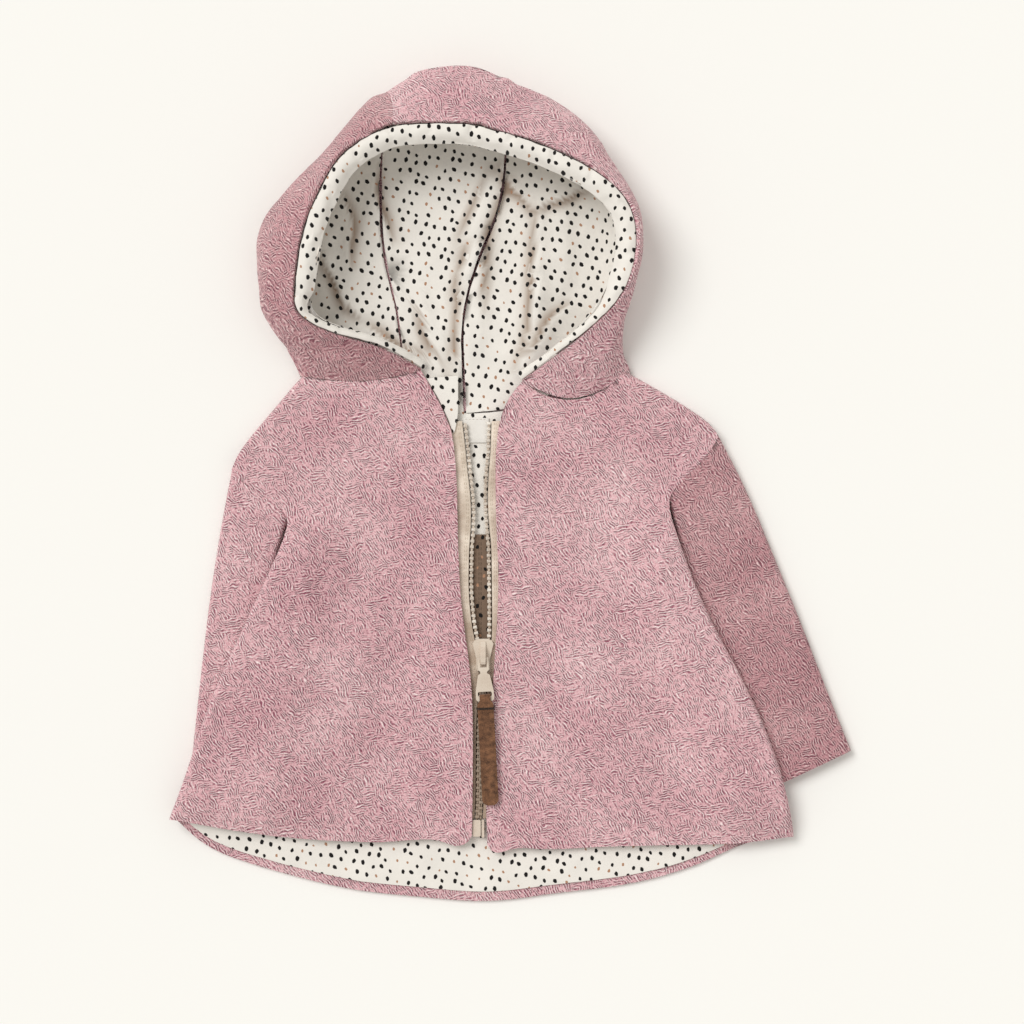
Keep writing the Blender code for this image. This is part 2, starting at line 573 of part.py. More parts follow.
def make_sleeves():
    steps = np.linspace(0.0, 1.0, SLEEVE_RINGS)
    for name, table, side_table, facing in (("sleeve_right", SLEEVE_RIGHT, SIDE_RIGHT, -1),
                                            ("sleeve_left", SLEEVE_LEFT, SIDE_LEFT, 1)):
        walls = [np.array([sleeve_ring(table, side_table, step, inset) for step in steps])
                 for inset in (0.0, WOOL)]
        tube(name, *walls, facing, wool())


def neck_row(table, front, sign, across):
    """The hood's neck seam: along the back neck, round the shoulder fold, back along the front."""
    seam_x = NECK_SEAMS[0] if sign < 0 else NECK_SEAMS[1]
    ends = (edge_start(side_point(SIDE_RIGHT, 1.0)), edge_start(side_point(SIDE_LEFT, 1.0)))
    start = BACK_FLAT * (2.0 * (seam_x - ends[0]) / (ends[1] - ends[0]) - 1.0)
    row = []
    for part in across:
        if part <= 0.5:
            along_back = float(np.interp(part, NECK_TURN[:3], (start, sign * BACK_FLAT, sign)))
            row.append(back_point(along_back, 1.0))
        else:
            row.append(front(float(np.interp(part, NECK_TURN[2:], (1.0, FRONT_FLAT, 0.0))), 1.0))
    return np.array(row) + np.array((0.0, SOFT_SEAM, 0.0))


def hood_side(table, front, sign, across, along):
    """Outer face of a hood panel. across: 0 at the centre seam, 1 at the rim; along: brow to neck."""
    keys = [row[0] for row in table] + [1.0]
    rows = [through(HOOD_ACROSS, np.array(row[1:], float), across) for row in table]
    rows.append(neck_row(table, front, sign, across))
    points = through(keys, np.array(rows), along)
    points[:, :, 2] = np.maximum(points[:, :, 2], 0.0)
    return points


def hood_right(across, along):
    return hood_side(HOOD_RIGHT, front_right, -1.0, across, along)


def hood_left(across, along):
    return hood_side(HOOD_LEFT, front_left, 1.0, across, along)


def hood_strip(across, along):
    """Outer face of the centre strip. across: 0 at the right seam, 1 at the left."""
    right = hood_right(np.array((0.0,)), along)[:, 0]
    left = hood_left(np.array((0.0,)), along)[:, 0]
    out = read(CROWN_BULGE, CROWN_BULGE_COLUMNS, "along", "out", along)
    strip = np.empty((len(along), len(across), 3))
    for index, part in enumerate(across):
        strip[:, index] = right + (left - right) * part
        strip[:, index, 1] += out * (1.0 - abs(2.0 * part - 1.0) ** 3)
    return strip


def rim_line(right, strip, left):
    """Joins the rims of the three hood panels, right front corner to left front corner."""
    return np.concatenate((right[::-1, -1], right[0, ::-1][1:], strip[0, 1:-1], left[0, :-1], left[:, -1]))


def rim_path():
    """The rim of the wool, evenly stepped, and how far its wall leans into the opening there."""
    along = np.linspace(0.0, 1.0, 61)
    across = np.linspace(0.0, 1.0, 13)
    panels = hood_right(across, along), hood_strip(across, along), hood_left(across, along)
    outer = rim_line(*panels)
    inner = rim_line(*(moved_in(panel, facing, WOOL) for panel, facing in zip(panels, (-1, 1, 1))))
    run = np.append(0.0, np.cumsum(np.linalg.norm(np.diff(outer, axis=0), axis=1)))
    even = np.linspace(0.0, run[-1], ROLL_STEPS + 1)
    path = np.array([np.interp(even, run, outer[:, axis]) for axis in range(3)]).T
    wall = np.array([np.interp(even, run, (inner - outer)[:, axis]) for axis in range(3)]).T
    lean = np.maximum(np.sum(wall * rim_inward(path), axis=1), 0.0)
    return path, lean


def rim_inward(path):
    """Level direction from each rim point into the opening."""
    tangent = np.gradient(path, axis=0)
    inward = np.stack((tangent[:, 1], -tangent[:, 0], np.zeros(len(path))), axis=1)
    return inward / np.linalg.norm(inward, axis=1, keepdims=True)


def roll_width(path):
    """The roll is wide round the top of the opening and narrow along its lower edges."""
    low = smooth((path[:, 1] - 106.0) / 20.0)
    return ROLL_NARROW + (ROLL_WIDE - ROLL_NARROW) * low


def roll_points(steps):
    """Outer face of the rolled edge, from the wool inward."""
    path, lean = rim_path()
    inward, width = rim_inward(path), roll_width(path)[:, None]
    share = width / ROLL_WIDE
    columns = []
    for part in steps:
        rise = ROLL_RISE * math.sin(math.pi * part) - ROLL_DROP * part
        start = ROLL_START + lean[:, None]
        columns.append(path + inward * (start + (width - SOFT_SEAM) * part)
                       + np.array((0.0, 0.0, 1.0)) * rise * share)
    return np.stack(columns, axis=1)


def under_roll(rim):
    """Where the lining starts: under the inner edge of the roll, for each rim point."""
    path = rim_path()[0]
    inner = roll_points((0.0, 0.9))[:, 1] - np.array((0.0, 0.0, 2 * JERSEY + ROLL_GAP))
    nearest = np.argmin(np.linalg.norm(path[None] - rim[:, None], axis=2), axis=1)
    near = np.clip(nearest, 1, len(path) - 2)
    result = []
    for point, middle in zip(rim, near):
        run = path[middle + 1] - path[middle - 1]
        t = float(np.clip(np.dot(point - path[middle - 1], run) / np.dot(run, run), 0.0, 1.0))
        result.append(inner[middle - 1] + (inner[middle + 1] - inner[middle - 1]) * t)
    return np.array(result)


def hood_lining(points, facing, along, across, has_side_rim=True):
    """Lining inside a hood panel: its points moved in, and led to the rolled edge at the rim."""
    lining = moved_in(points, facing, WOOL + HOOD_GAP)
    top = under_roll(points[0]) - lining[0]
    near_top = smooth((0.16 - along) / 0.16)[:, None, None]
    shift = near_top * top[None]
    if has_side_rim:
        rim = under_roll(points[:, -1]) - lining[:, -1]
        near_rim = smooth((across - 0.62) / 0.38)[None, :, None]
        shift = shift + near_rim * rim[:, None] - near_top * near_rim * top[-1]
    lining = lining + shift
    near_neck = smooth((along - 0.8) / 0.2)
    for index, part in enumerate(across if has_side_rim else ()):
        stop = LINING_STOP * float(smooth((part - 0.2) / 0.16))
        lining[:, index] = through(along, lining[:, index], along - near_neck * stop)
    for edge, inside in ((0, 1),) if has_side_rim else ((0, 1), (-1, -2)):
        step = lining[:, inside] - lining[:, edge]
        lining[:, edge] += step * LINING_SEAM / np.linalg.norm(step, axis=1, keepdims=True)
    return lining


def hood_wall(points, facing):
    """Inner face of the hood's wool, kept off the body along the neck seam."""
    inner = moved_in(points, facing, WOOL)
    inner[-1, :, 1] = np.maximum(inner[-1, :, 1], points[-1, :, 1])
    return inner


def make_hood():
    along = np.unique(np.concatenate((np.linspace(0.0, 0.24, 7), np.linspace(0.24, 1.0, HOOD_ROWS - 6))))
    across = np.array(HOOD_STEPS)
    for name, surface, facing in (("right", hood_right, -1), ("left", hood_left, 1)):
        points = surface(across * (1.0 - PANEL_GAP) + PANEL_GAP, along)
        shell("hood_side_" + name, points, hood_wall(points, facing), facing, wool())
        lining = hood_lining(points, facing, along, across)
        shell("hood_lining_" + name, lining, moved_in(lining, facing, JERSEY), facing, jersey())
    points = hood_strip(np.linspace(STRIP_GAP, 1.0 - STRIP_GAP, 7), along)
    shell("hood_centre", points, hood_wall(points, 1), 1, wool())
    lining = hood_lining(points, 1, along, across, has_side_rim=False)
    shell("hood_lining_centre", lining, moved_in(lining, 1, JERSEY), 1, jersey())
    roll = roll_points(np.linspace(0.0, 1.0, 5))
    shell("hood_binding", roll, moved_in(roll, 1, JERSEY), 1, jersey())


def zip_row(name, y):
    return read(ZIP, ZIP_COLUMNS, "y", name, y)


def bar(name, low_side, high_side, thick, facing, material):
    """A strip between two lines of points, with its flat top on them."""
    strip = np.stack((low_side, high_side), axis=1)
    return shell(name, strip, strip - np.array((0.0, 0.0, thick)), facing, material)


def make_zip():
    heights = np.concatenate((np.linspace(-221.0, -128.0, 9), np.linspace(-124.0, -100.0, 9),
                              np.linspace(-92.0, 42.0, 14)))
    middle = np.array([zip_height(y) for y in heights])
    half_row = zip_row("wide", heights) / 2
    for name, sign, edge_table in (("right", -1.0, EDGE_RIGHT), ("left", 1.0, EDGE_LEFT)):
        centre = zip_row(name, heights)
        top = middle + TOOTH_THICK / 2
        teeth = [np.stack((centre + sign * side * half_row, heights, top), axis=1) for side in (-1, 1)]
        bar("zip_teeth_" + name, *teeth, TOOTH_THICK, int(sign), plastic())
        edge = read(edge_table, EDGE_COLUMNS, "y", "x", heights)
        near = centre + sign * (half_row + SEAM)
        far = np.maximum(sign * edge + TAPE_UNDER, sign * near + TAPE_UNDER / 2) * sign
        tapes = [np.stack((column, heights, middle + TAPE / 2), axis=1) for column in (near, far)]
        bar("zip_tape_" + name, *tapes, TAPE, int(sign), tape())


def make_slider():
    """Two plates round the teeth, a post where the rows part, and a bridge over the pull."""
    height = zip_height(SLIDER_Y)
    room = TOOTH_THICK + 2 * SEAM
    centre = (SLIDER_X, SLIDER_Y, height)
    slider = plate("zip_slider", [SLIDER_BODY], room + 2 * PLATE_THICK, centre, plastic())
    combine(slider, plate("slider_channel", [SLIDER_CHANNEL], room, centre, plastic()), "DIFFERENCE")
    combine(slider, plate("slider_slot", [SLIDER_SLOT], TAPE + 2 * SEAM, centre, plastic()), "DIFFERENCE")
    combine(slider, plate("slider_post", [SLIDER_POST], room + PLATE_THICK, centre, plastic()), "UNION")
    deck = height + room / 2 + PLATE_THICK
    rise = PULL_AXIS_Z + BRIDGE_RISE - deck
    arch, window = ([(y, deck + rise * share) for y, share in side] for side in (BRIDGE_ARCH, BRIDGE_WINDOW))
    bridge = plate("slider_bridge", [arch, window], BRIDGE_WIDE, (0, 0, 0), plastic())
    for vertex in bridge.data.vertices:
        along, up, across = vertex.co
        vertex.co = (across + SLIDER_X * MM, along + PULL_AXIS_Y * MM, up)
    combine(slider, bridge, "UNION")


def make_tab(half_gap):
    """The leather strap, folded round the pull's bar and sewn flat below it."""
    top, bottom = half_gap + TAB_LAYER, -half_gap - TAB_LAYER
    bar_start, bar_end = PULL_BAR[0] + TAB_CLEAR, PULL_BAR[1] - TAB_CLEAR
    fold, end = bar_start + TAB_LAYER, PULL_BAR[0] - TAB_LONG
    profile = [(fold, top - 0.4), (fold, bottom + 0.4), (fold - 0.5, bottom), (TAB_SEWN + 6.0, bottom),
               (TAB_SEWN, TAB_LOW), (end, TAB_LOW), (end, TAB_HIGH), (TAB_SEWN, TAB_HIGH),
               (TAB_SEWN + 7.0, top), (fold - 0.5, top)]
    room = [(bar_start, half_gap), (bar_end, half_gap), (bar_end, -half_gap), (bar_start, -half_gap)]
    tab = plate("leather_tab", [profile, room], TAB_WIDE, (0, 0, 0), leather())
    for vertex in tab.data.vertices:
        along, up, across = vertex.co
        vertex.co = (across, along, up)
    half, neck = TAB_WIDE / 2, PULL_EYE[0] / 2 - 1.0
    side = [(neck, fold + 1.0), (neck, bar_end + 0.9), (half - 0.4, bar_end - 1.2), (half, bar_end - 2.4),
            (half, end + 3.4), (half - 1.2, end + 1.1), (half - 3.4, end + 0.1)]
    outline = side + [(-x, y) for x, y in reversed(side)]
    shape = plate("tab_outline", [outline], 12.0, (0, 0, 0), leather())
    combine(tab, shape, "INTERSECT")
    return tab, shape


def make_thread(half_gap):
    """The dark thread wound round the strap below the pull."""
    thread = bpy.data.curves.new("tab_thread", "CURVE")
    thread.dimensions = "3D"
    thread.bevel_depth = THREAD_RADIUS * MM
    thread.bevel_resolution = 1
    away = THREAD_RADIUS + TAB_CLEAR
    wide, high = TAB_WIDE / 2 + away, half_gap + TAB_LAYER + away
    corner = 2 * THREAD_RADIUS
    ring = rounded(2 * wide, 2 * high, corner, 1)
    line = thread.splines.new("POLY")
    line.points.add(len(ring) - 1)
    for target, (x, z) in zip(line.points, ring):
        target.co = (x * MM, THREAD_AT * MM, z * MM, 1.0)
    line.use_cyclic_u = True
    thread.materials.append(look("dark_thread", (0.03, 0.025, 0.02), 0.8))
    return place(bpy.data.objects.new("tab_thread", thread))


def make_pull():
    """Loop, link and plate of the pull, its leather tab and the thread wound round the tab."""
    hinge = place(bpy.data.objects.new("pull_hinge", None))
    hinge.location = np.array((SLIDER_X, PULL_AXIS_Y, PULL_AXIS_Z)) * MM
    hinge.empty_display_size = 0.004
    eye_wide, eye_long, eye_y = PULL_EYE
    eye = [(x, y + eye_y) for x, y in rounded(eye_wide, eye_long, 1.0, 3)]
    pull = plate("zip_pull", [PULL_OUTLINE, PULL_LOOP, eye], PULL_THICK, (0, 0, 0), plastic())
    half_gap = PULL_THICK / 2 + TAB_CLEAR
    for piece in (pull, *make_tab(half_gap), make_thread(half_gap)):
        piece.parent = hinge
        piece.rotation_euler = (0.0, 0.0, PULL_TILT)


def flat_cloth(name, width, length, rows, top, material):
    """A small flat piece of thin cloth over the back lining. width and length are its two ends."""
    points = np.array([[(x, y, top) for x in np.linspace(*width, 4)] for y in np.linspace(*length, rows)])
    shell(name, points, points - np.array((0.0, 0.0, JERSEY)), 1, material)


def make_small_parts():
    plate("zip_box", [rounded(*ZIP_BOX[:2], 0.8, 2)], ZIP_BOX[2], (*BOX_AT, ZIP_HEIGHT), plastic())
    plate("zip_pin", [rounded(*ZIP_PIN[:2], 0.7, 2)], ZIP_PIN[2], (*PIN_AT, ZIP_HEIGHT), plastic())
    top = WOOL + SEAM + JERSEY + SEAM + JERSEY
    flat_cloth("zip_underflap", *UNDERFLAP, 12, top, jersey())
    flat_cloth("neck_label", *LABEL, 3, top, look("woven_label", (0.80, 0.77, 0.72), 0.8))
    low, high = GUARD_LEVELS
    guard = []
    for step in np.linspace(0.0, 1.0, 7):
        edge_x, edge_y = edge_point(EDGE_RIGHT, low + (high - low) * step)
        start = edge_x + SEAM * 2
        far = GUARD_X + 2.0 * float(smooth(step * 3.0))
        height = ZIP_HEIGHT + TAPE / 2 + SEAM + JERSEY + 0.4 * step
        guard.append([(start + (far - start) * part, edge_y + 2.0 * part, height)
                      for part in (0.0, 0.34, 0.67, 1.0)])
    guard = np.array(guard)
    shell("chin_guard", guard, guard - np.array((0.0, 0.0, JERSEY)), 1, jersey())


for leftover in list(bpy.data.objects):
    bpy.data.objects.remove(leftover, do_unlink=True)

jacket = bpy.data.collections.new("boiled_wool_jacket")
cutters = bpy.data.collections.new("cutters")
bpy.context.scene.collection.children.link(jacket)
bpy.context.scene.collection.children.link(cutters)

make_body()
make_sleeves()
make_hood()
make_zip()
make_slider()
make_pull()
make_small_parts()
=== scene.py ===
import math

import bmesh
import bpy
import numpy as np
from mathutils import Matrix, Vector, noise
from mathutils.bvhtree import BVHTree


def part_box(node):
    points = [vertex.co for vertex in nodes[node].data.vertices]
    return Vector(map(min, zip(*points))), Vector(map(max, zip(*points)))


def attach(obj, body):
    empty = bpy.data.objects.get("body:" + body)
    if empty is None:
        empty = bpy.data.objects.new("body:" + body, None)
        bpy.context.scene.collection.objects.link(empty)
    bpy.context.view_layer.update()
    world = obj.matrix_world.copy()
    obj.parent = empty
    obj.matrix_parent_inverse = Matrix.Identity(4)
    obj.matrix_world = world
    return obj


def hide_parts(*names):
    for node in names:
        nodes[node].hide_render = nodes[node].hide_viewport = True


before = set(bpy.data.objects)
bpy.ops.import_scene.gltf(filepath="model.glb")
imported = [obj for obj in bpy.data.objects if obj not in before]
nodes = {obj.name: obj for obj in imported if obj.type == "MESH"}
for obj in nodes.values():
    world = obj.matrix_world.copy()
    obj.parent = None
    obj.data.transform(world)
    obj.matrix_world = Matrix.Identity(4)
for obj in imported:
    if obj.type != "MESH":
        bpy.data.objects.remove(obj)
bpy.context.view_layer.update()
mm = 0.001
finer = 0


# short ways to place shader nodes
def put(tree, kind, values=None, **settings):
    node = tree.nodes.new("ShaderNode" + kind)
    for key, value in settings.items():
        setattr(node, key, value)
    for key, value in (values or {}).items():
        if isinstance(value, bpy.types.NodeSocket):
            tree.links.new(value, node.inputs[key])
        else:
            node.inputs[key].default_value = value
    return node


def calc(tree, operation, *values):
    return put(tree, "Math", dict(enumerate(values)), operation=operation).outputs[0]


def vector(tree, operation, *values):
    return put(tree, "VectorMath", dict(enumerate(values)), operation=operation).outputs


def grain(tree, place, scale, detail, output="Fac"):
    return put(tree, "TexNoise", {"Vector": place, "Scale": scale, "Detail": detail}).outputs[output]


def mixed(tree, factor, first, second, blend="MIX"):
    values = {"Factor": factor, "A": first, "B": second}
    return put(tree, "Mix", values, data_type="RGBA", blend_type=blend).outputs["Result"]


def ramp(tree, factor, stops):
    node = put(tree, "ValToRGB", {"Fac": factor})
    while len(node.color_ramp.elements) < len(stops):
        node.color_ramp.elements.new(0.5)
    for element, (place, colour) in zip(node.color_ramp.elements, stops):
        element.position, element.color = place, (*colour, 1.0)
    return node.outputs["Color"]


def spread(tree, value, low, high, start=0.0, end=1.0):
    return put(tree, "MapRange", {"Value": value, "From Min": low, "From Max": high,
                                  "To Min": start, "To Max": end}).outputs["Result"]


def group(name, inputs, outputs, build):
    tree = bpy.data.node_groups.new(name, "ShaderNodeTree")
    for way, sockets in (("INPUT", inputs), ("OUTPUT", outputs)):
        for socketName, kind in sockets.items():
            tree.interface.new_socket(name=socketName, in_out=way, socket_type="NodeSocket" + kind)
    start = tree.nodes.new("NodeGroupInput")
    end = tree.nodes.new("NodeGroupOutput")
    for socketName, socket in build(tree, start.outputs).items():
        tree.links.new(socket, end.inputs[socketName])
    return tree


# felted wool: wavy strands that lie three ways, in patches
woolLook = {"ways": ((0.94, 0.34, 0.2), (0.17, -0.98, 0.3), (-0.77, -0.64, 0.25)), "period": 0.00162,
            "waves": 170.0, "bend": 17.0, "patches": 78.0, "breaks": 420.0, "fuzz": 1100.0, "clouds": 22.0}


def feltedStrands(tree, given):
    place = put(tree, "TexCoord").outputs["Object"]
    bend = grain(tree, place, woolLook["waves"], 1.0)
    patch = grain(tree, place, woolLook["patches"], 1.0, "Color")
    picks = put(tree, "SeparateColor", {"Color": patch}).outputs
    strand = None
    for index, way in enumerate(woolLook["ways"]):
        turns = tuple(2 * math.pi / woolLook["period"] * part for part in way)
        along = vector(tree, "DOT_PRODUCT", place, turns)["Value"]
        wave = calc(tree, "SINE", calc(tree, "MULTIPLY_ADD", bend, woolLook["bend"], along))
        wave = spread(tree, wave, -0.7, 0.8, -1.0, 1.0)
        if strand is None:
            strand = wave
        else:
            pick = spread(tree, picks[index], 0.46, 0.54)
            strand = calc(tree, "MULTIPLY_ADD", calc(tree, "SUBTRACT", wave, strand), pick, strand)
    cut = grain(tree, place, woolLook["breaks"], 1.0)
    broken = calc(tree, "MULTIPLY", strand, spread(tree, cut, 0.38, 0.58, 0.1, 1.0))
    fuzz = grain(tree, place, woolLook["fuzz"], 1.0)
    clouds = grain(tree, place, woolLook["clouds"], 3.0)
    tone = calc(tree, "MULTIPLY_ADD", broken, 0.40, 0.5)
    tone = calc(tree, "ADD", tone, spread(tree, fuzz, 0.3, 0.7, -0.14, 0.14))
    tone = calc(tree, "ADD", tone, spread(tree, clouds, 0.3, 0.7, -0.09, 0.09))
    height = calc(tree, "ADD", calc(tree, "MULTIPLY", broken, 0.75), calc(tree, "MULTIPLY", fuzz, 0.7))
    return {"Tone": tone, "Height": height}


# dotted jersey: dots on a staggered lattice, set in millimetres on the cloth
# the dark brown at the end is a painted shade, multiplied into the lining's cloth at the bottom of its sharp
# folds
printLook = {"dot": (0.006, 0.005, 0.005), "tan": (0.42, 0.23, 0.14), "tanShare": 0.80,
             "spacing": 7.3, "across": 1.2, "along": 1.66, "paintedFoldShade": (0.40, 0.31, 0.25)}


def sheared(tree, place, first, second):
    x = vector(tree, "DOT_PRODUCT", place, first)["Value"]
    y = vector(tree, "DOT_PRODUCT", place, second)["Value"]
    return put(tree, "CombineXYZ", {0: x, 1: y}).outputs[0]


def dotMask(tree, place):
    # where the dots are, and which of them are tan
    leant = sheared(tree, place, (0.97, -0.56, 0.0), (0.22, 1.10, 0.0))
    lattice = {"Vector": leant, "Scale": 1.0 / printLook["spacing"], "Randomness": 0.42}
    cell = put(tree, "TexVoronoi", lattice, voronoi_dimensions="2D", feature="F1").outputs
    chance = put(tree, "SeparateColor", {"Color": cell["Color"]}).outputs
    offset = vector(tree, "SUBTRACT", leant, cell["Position"])[0]
    away = sheared(tree, offset, (0.924, 0.470, 0.0), (-0.185, 0.815, 0.0))
    angle = spread(tree, chance[0], 0.0, 1.0, -0.9, 0.5)
    turned = put(tree, "VectorRotate", {"Vector": away, "Angle": angle}, rotation_type="Z_AXIS").outputs[0]
    oval = vector(tree, "MULTIPLY", turned, (1 / printLook["across"], 1 / printLook["along"], 0.0))[0]
    wobble = put(tree, "TexNoise", {"Vector": place, "Scale": 0.9, "Detail": 1.0}, noise_dimensions="2D")
    tan = calc(tree, "GREATER_THAN", chance[2], printLook["tanShare"])
    size = spread(tree, chance[1], 0.0, 1.0, 0.8, 1.1)
    size = calc(tree, "SUBTRACT", size, calc(tree, "MULTIPLY", tan, 0.32))
    size = calc(tree, "ADD", size, spread(tree, wobble.outputs["Fac"], 0.3, 0.7, -0.1, 0.1))
    reach = calc(tree, "SUBTRACT", size, vector(tree, "LENGTH", oval)["Value"])
    return spread(tree, reach, -0.05, 0.09), tan


def dottedCloth(tree, given):
    mask, tan = dotMask(tree, put(tree, "UVMap", uv_map="cloth").outputs["UV"])
    solid = put(tree, "TexCoord").outputs["Object"]
    cloud = grain(tree, solid, 55.0, 3.0)
    shade = spread(tree, cloud, 0.3, 0.7, 0.93, 1.0)
    base = put(tree, "VectorMath", {0: given["Cloth"], "Scale": shade}, operation="SCALE").outputs[0]
    # painted shade: the cloth is darkened at the bottom of the lining's sharp folds
    paintedShadeMask = put(tree, "Attribute", attribute_name="paintedFoldShade").outputs["Fac"]
    clothWithPaintedShade = mixed(tree, paintedShadeMask, base, (*printLook["paintedFoldShade"], 1), "MULTIPLY")
    ink = mixed(tree, tan, (*printLook["dot"], 1), (*printLook["tan"], 1))
    knit = put(tree, "TexWave", {"Vector": solid, "Scale": 420.0, "Distortion": 1.5, "Detail": 1.0})
    loops = calc(tree, "ADD", calc(tree, "MULTIPLY", knit.outputs["Fac"], 0.15),
                 calc(tree, "MULTIPLY", grain(tree, solid, 900.0, 2.0), 0.3))
    return {"Color": mixed(tree, mask, clothWithPaintedShade, ink),
            "Height": calc(tree, "ADD", calc(tree, "MULTIPLY", cloud, 3.0), loops)}


# plain weave; its darkening toward the hem, by the given amount, is painted shade of the zip's lower end by
# the leather tab
def wovenCloth(tree, given):
    place = put(tree, "TexCoord").outputs["Object"]
    axes = put(tree, "SeparateXYZ", {"Vector": place}).outputs
    warp = calc(tree, "SINE", calc(tree, "MULTIPLY", axes[0], given["Scale"]))
    weft = calc(tree, "SINE", calc(tree, "MULTIPLY", axes[1], given["Scale"]))
    check = calc(tree, "MULTIPLY", warp, weft)
    grime = grain(tree, place, 80.0, 4.0)
    threads = spread(tree, check, -1.0, 1.0, 0.0, 0.35)
    tone = calc(tree, "ADD", threads, spread(tree, grime, 0.3, 0.7, 0.1, 0.65))
    # painted shade toward the hem
    tone = calc(tree, "SUBTRACT", tone, spread(tree, axes[1], -0.06, -0.16, 0.0, given["Fade"]))
    return {"Tone": tone, "Height": check}


# patchy and pored: plastic, leather and thread
def speckled(tree, given):
    place = put(tree, "TexCoord").outputs["Object"]
    patch = grain(tree, place, given["Patches"], 5.0)
    pore = grain(tree, place, given["Pores"], 3.0)
    tone = calc(tree, "ADD", spread(tree, patch, 0.3, 0.7, 0.0, 0.6), spread(tree, pore, 0.3, 0.7, 0.0, 0.4))
    along = put(tree, "SeparateXYZ", {"Vector": place}).outputs[1]
    # painted shade: darker toward the hem by the given amount, where the zip lies in the leather tab's
    # shadow
    tone = calc(tree, "SUBTRACT", tone, spread(tree, along, -0.10, -0.17, 0.0, given["Fade"]))
    return {"Tone": tone, "Height": pore}


def material(name, nodeGroup, roughness, bump, depth, given=None, stops=None, sheen=0.0):
    made = bpy.data.materials.new(name)
    made.use_nodes = True
    tree = made.node_tree
    shader = tree.nodes["Principled BSDF"]
    shader.inputs["Roughness"].default_value = roughness
    shader.inputs["Sheen Weight"].default_value = sheen
    shader.inputs["Sheen Roughness"].default_value = 0.5
    shader.inputs["Specular IOR Level"].default_value = 0.3
    holder = tree.nodes.new("ShaderNodeGroup")
    holder.node_tree = nodeGroup
    for socketName, value in (given or {}).items():
        holder.inputs[socketName].default_value = value
    colour = ramp(tree, holder.outputs["Tone"], stops) if stops else holder.outputs["Color"]
    tree.links.new(colour, shader.inputs["Base Color"])
    lift = put(tree, "Bump", {"Height": holder.outputs["Height"], "Strength": bump, "Distance": depth})
    tree.links.new(lift.outputs["Normal"], shader.inputs["Normal"])
    return made


def woolTones(dark, middle, light):
    return (0.04, dark), (0.5, middle), (0.96, light)


def twoTones(dark, light):
    return (0.1, dark), (0.9, light)


toned = {"Tone": "Float", "Height": "Float"}
felt = group("feltedStrands", {}, toned, feltedStrands)
dots = group("dottedPrint", {"Cloth": "Color"}, {"Color": "Color", "Height": "Float"}, dottedCloth)
weave = group("plainWeave", {"Scale": "Float", "Fade": "Float"}, toned, wovenCloth)
speckle = group("speckle", {"Patches": "Float", "Pores": "Float", "Fade": "Float"}, toned, speckled)

wool = material("boiledWool", felt, 0.95, 0.9, 0.0007, sheen=0.25,
                stops=woolTones((0.28, 0.075, 0.12), (0.72, 0.425, 0.455), (0.98, 0.80, 0.80)))
# painted shade: a darker copy of the same wool, for one sleeve and one side of the hood, whose nap faces
# away from the light
paintedShadeWool = material("boiledWoolPaintedShade", felt, 0.95, 0.9, 0.0007, sheen=0.25,
                    stops=woolTones((0.21, 0.055, 0.085), (0.54, 0.285, 0.305), (0.86, 0.62, 0.62)))
jersey = material("dottedJersey", dots, 0.88, 0.5, 0.0005, {"Cloth": (0.86, 0.825, 0.77, 1)}, sheen=0.1)
# painted shade: the underflap's cloth is dark brown, its own beige-brown deepened to stand for the shadow in
# the narrow gap between the zip's teeth
paintedShadeJersey = material("paintedShadeJersey", dots, 0.9, 0.5, 0.0005, {"Cloth": (0.20, 0.135, 0.095, 1)})
# painted shade: the zip tape darkens toward the hem
tape = material("zipTape", weave, 0.9, 0.35, 0.0002, {"Scale": 6500.0, "Fade": 0.5},
                twoTones((0.42, 0.32, 0.24), (0.92, 0.82, 0.70)))
label = material("wovenLabel", weave, 0.75, 0.2, 0.0001, {"Scale": 9000.0, "Fade": 0.0},
                 twoTones((0.70, 0.67, 0.62), (0.86, 0.83, 0.79)))
plastic = material("mouldedPlastic", speckle, 0.38, 0.05, 0.0001,
                   {"Patches": 60.0, "Pores": 1500.0, "Fade": 0.0},
                   twoTones((0.56, 0.46, 0.37), (0.74, 0.65, 0.55)))
# painted shade: the teeth darken toward the hem
paleTeeth = material("paleTeeth", speckle, 0.4, 0.05, 0.0001,
                     {"Patches": 60.0, "Pores": 1500.0, "Fade": 0.75},
                     twoTones((0.36, 0.28, 0.21), (0.93, 0.88, 0.80)))
leather = material("suedeLeather", speckle, 0.75, 0.5, 0.0002,
                   {"Patches": 260.0, "Pores": 1400.0, "Fade": 0.0},
                   twoTones((0.045, 0.018, 0.008), (0.25, 0.115, 0.055)), sheen=0.15)
thread = material("darkThread", speckle, 0.7, 0.3, 0.0001,
                  {"Patches": 900.0, "Pores": 3000.0, "Fade": 0.0},
                  twoTones((0.010, 0.009, 0.008), (0.04, 0.034, 0.03)))
sewing = material("sewingThread", speckle, 0.7, 0.3, 0.0001,
                  {"Patches": 900.0, "Pores": 3000.0, "Fade": 0.0},
                  twoTones((0.52, 0.43, 0.33), (0.72, 0.63, 0.52)))
print("materials made")

# Cloth: each CAD wall made finer, drawn to its neighbours, folded and given a nap.
# Folds are in millimetres, each along a line from x1, y1 to x2, y2.
hoodMiddle = (-35.0, 165.0)  # folds of the hood's wool move away from here
bowlMiddle = (-34, 165)  # the print runs up the hood's walls away from here
seam = {"reach": 1.8, "share": 0.49}  # how far a seam is felt, and how far an edge goes to it


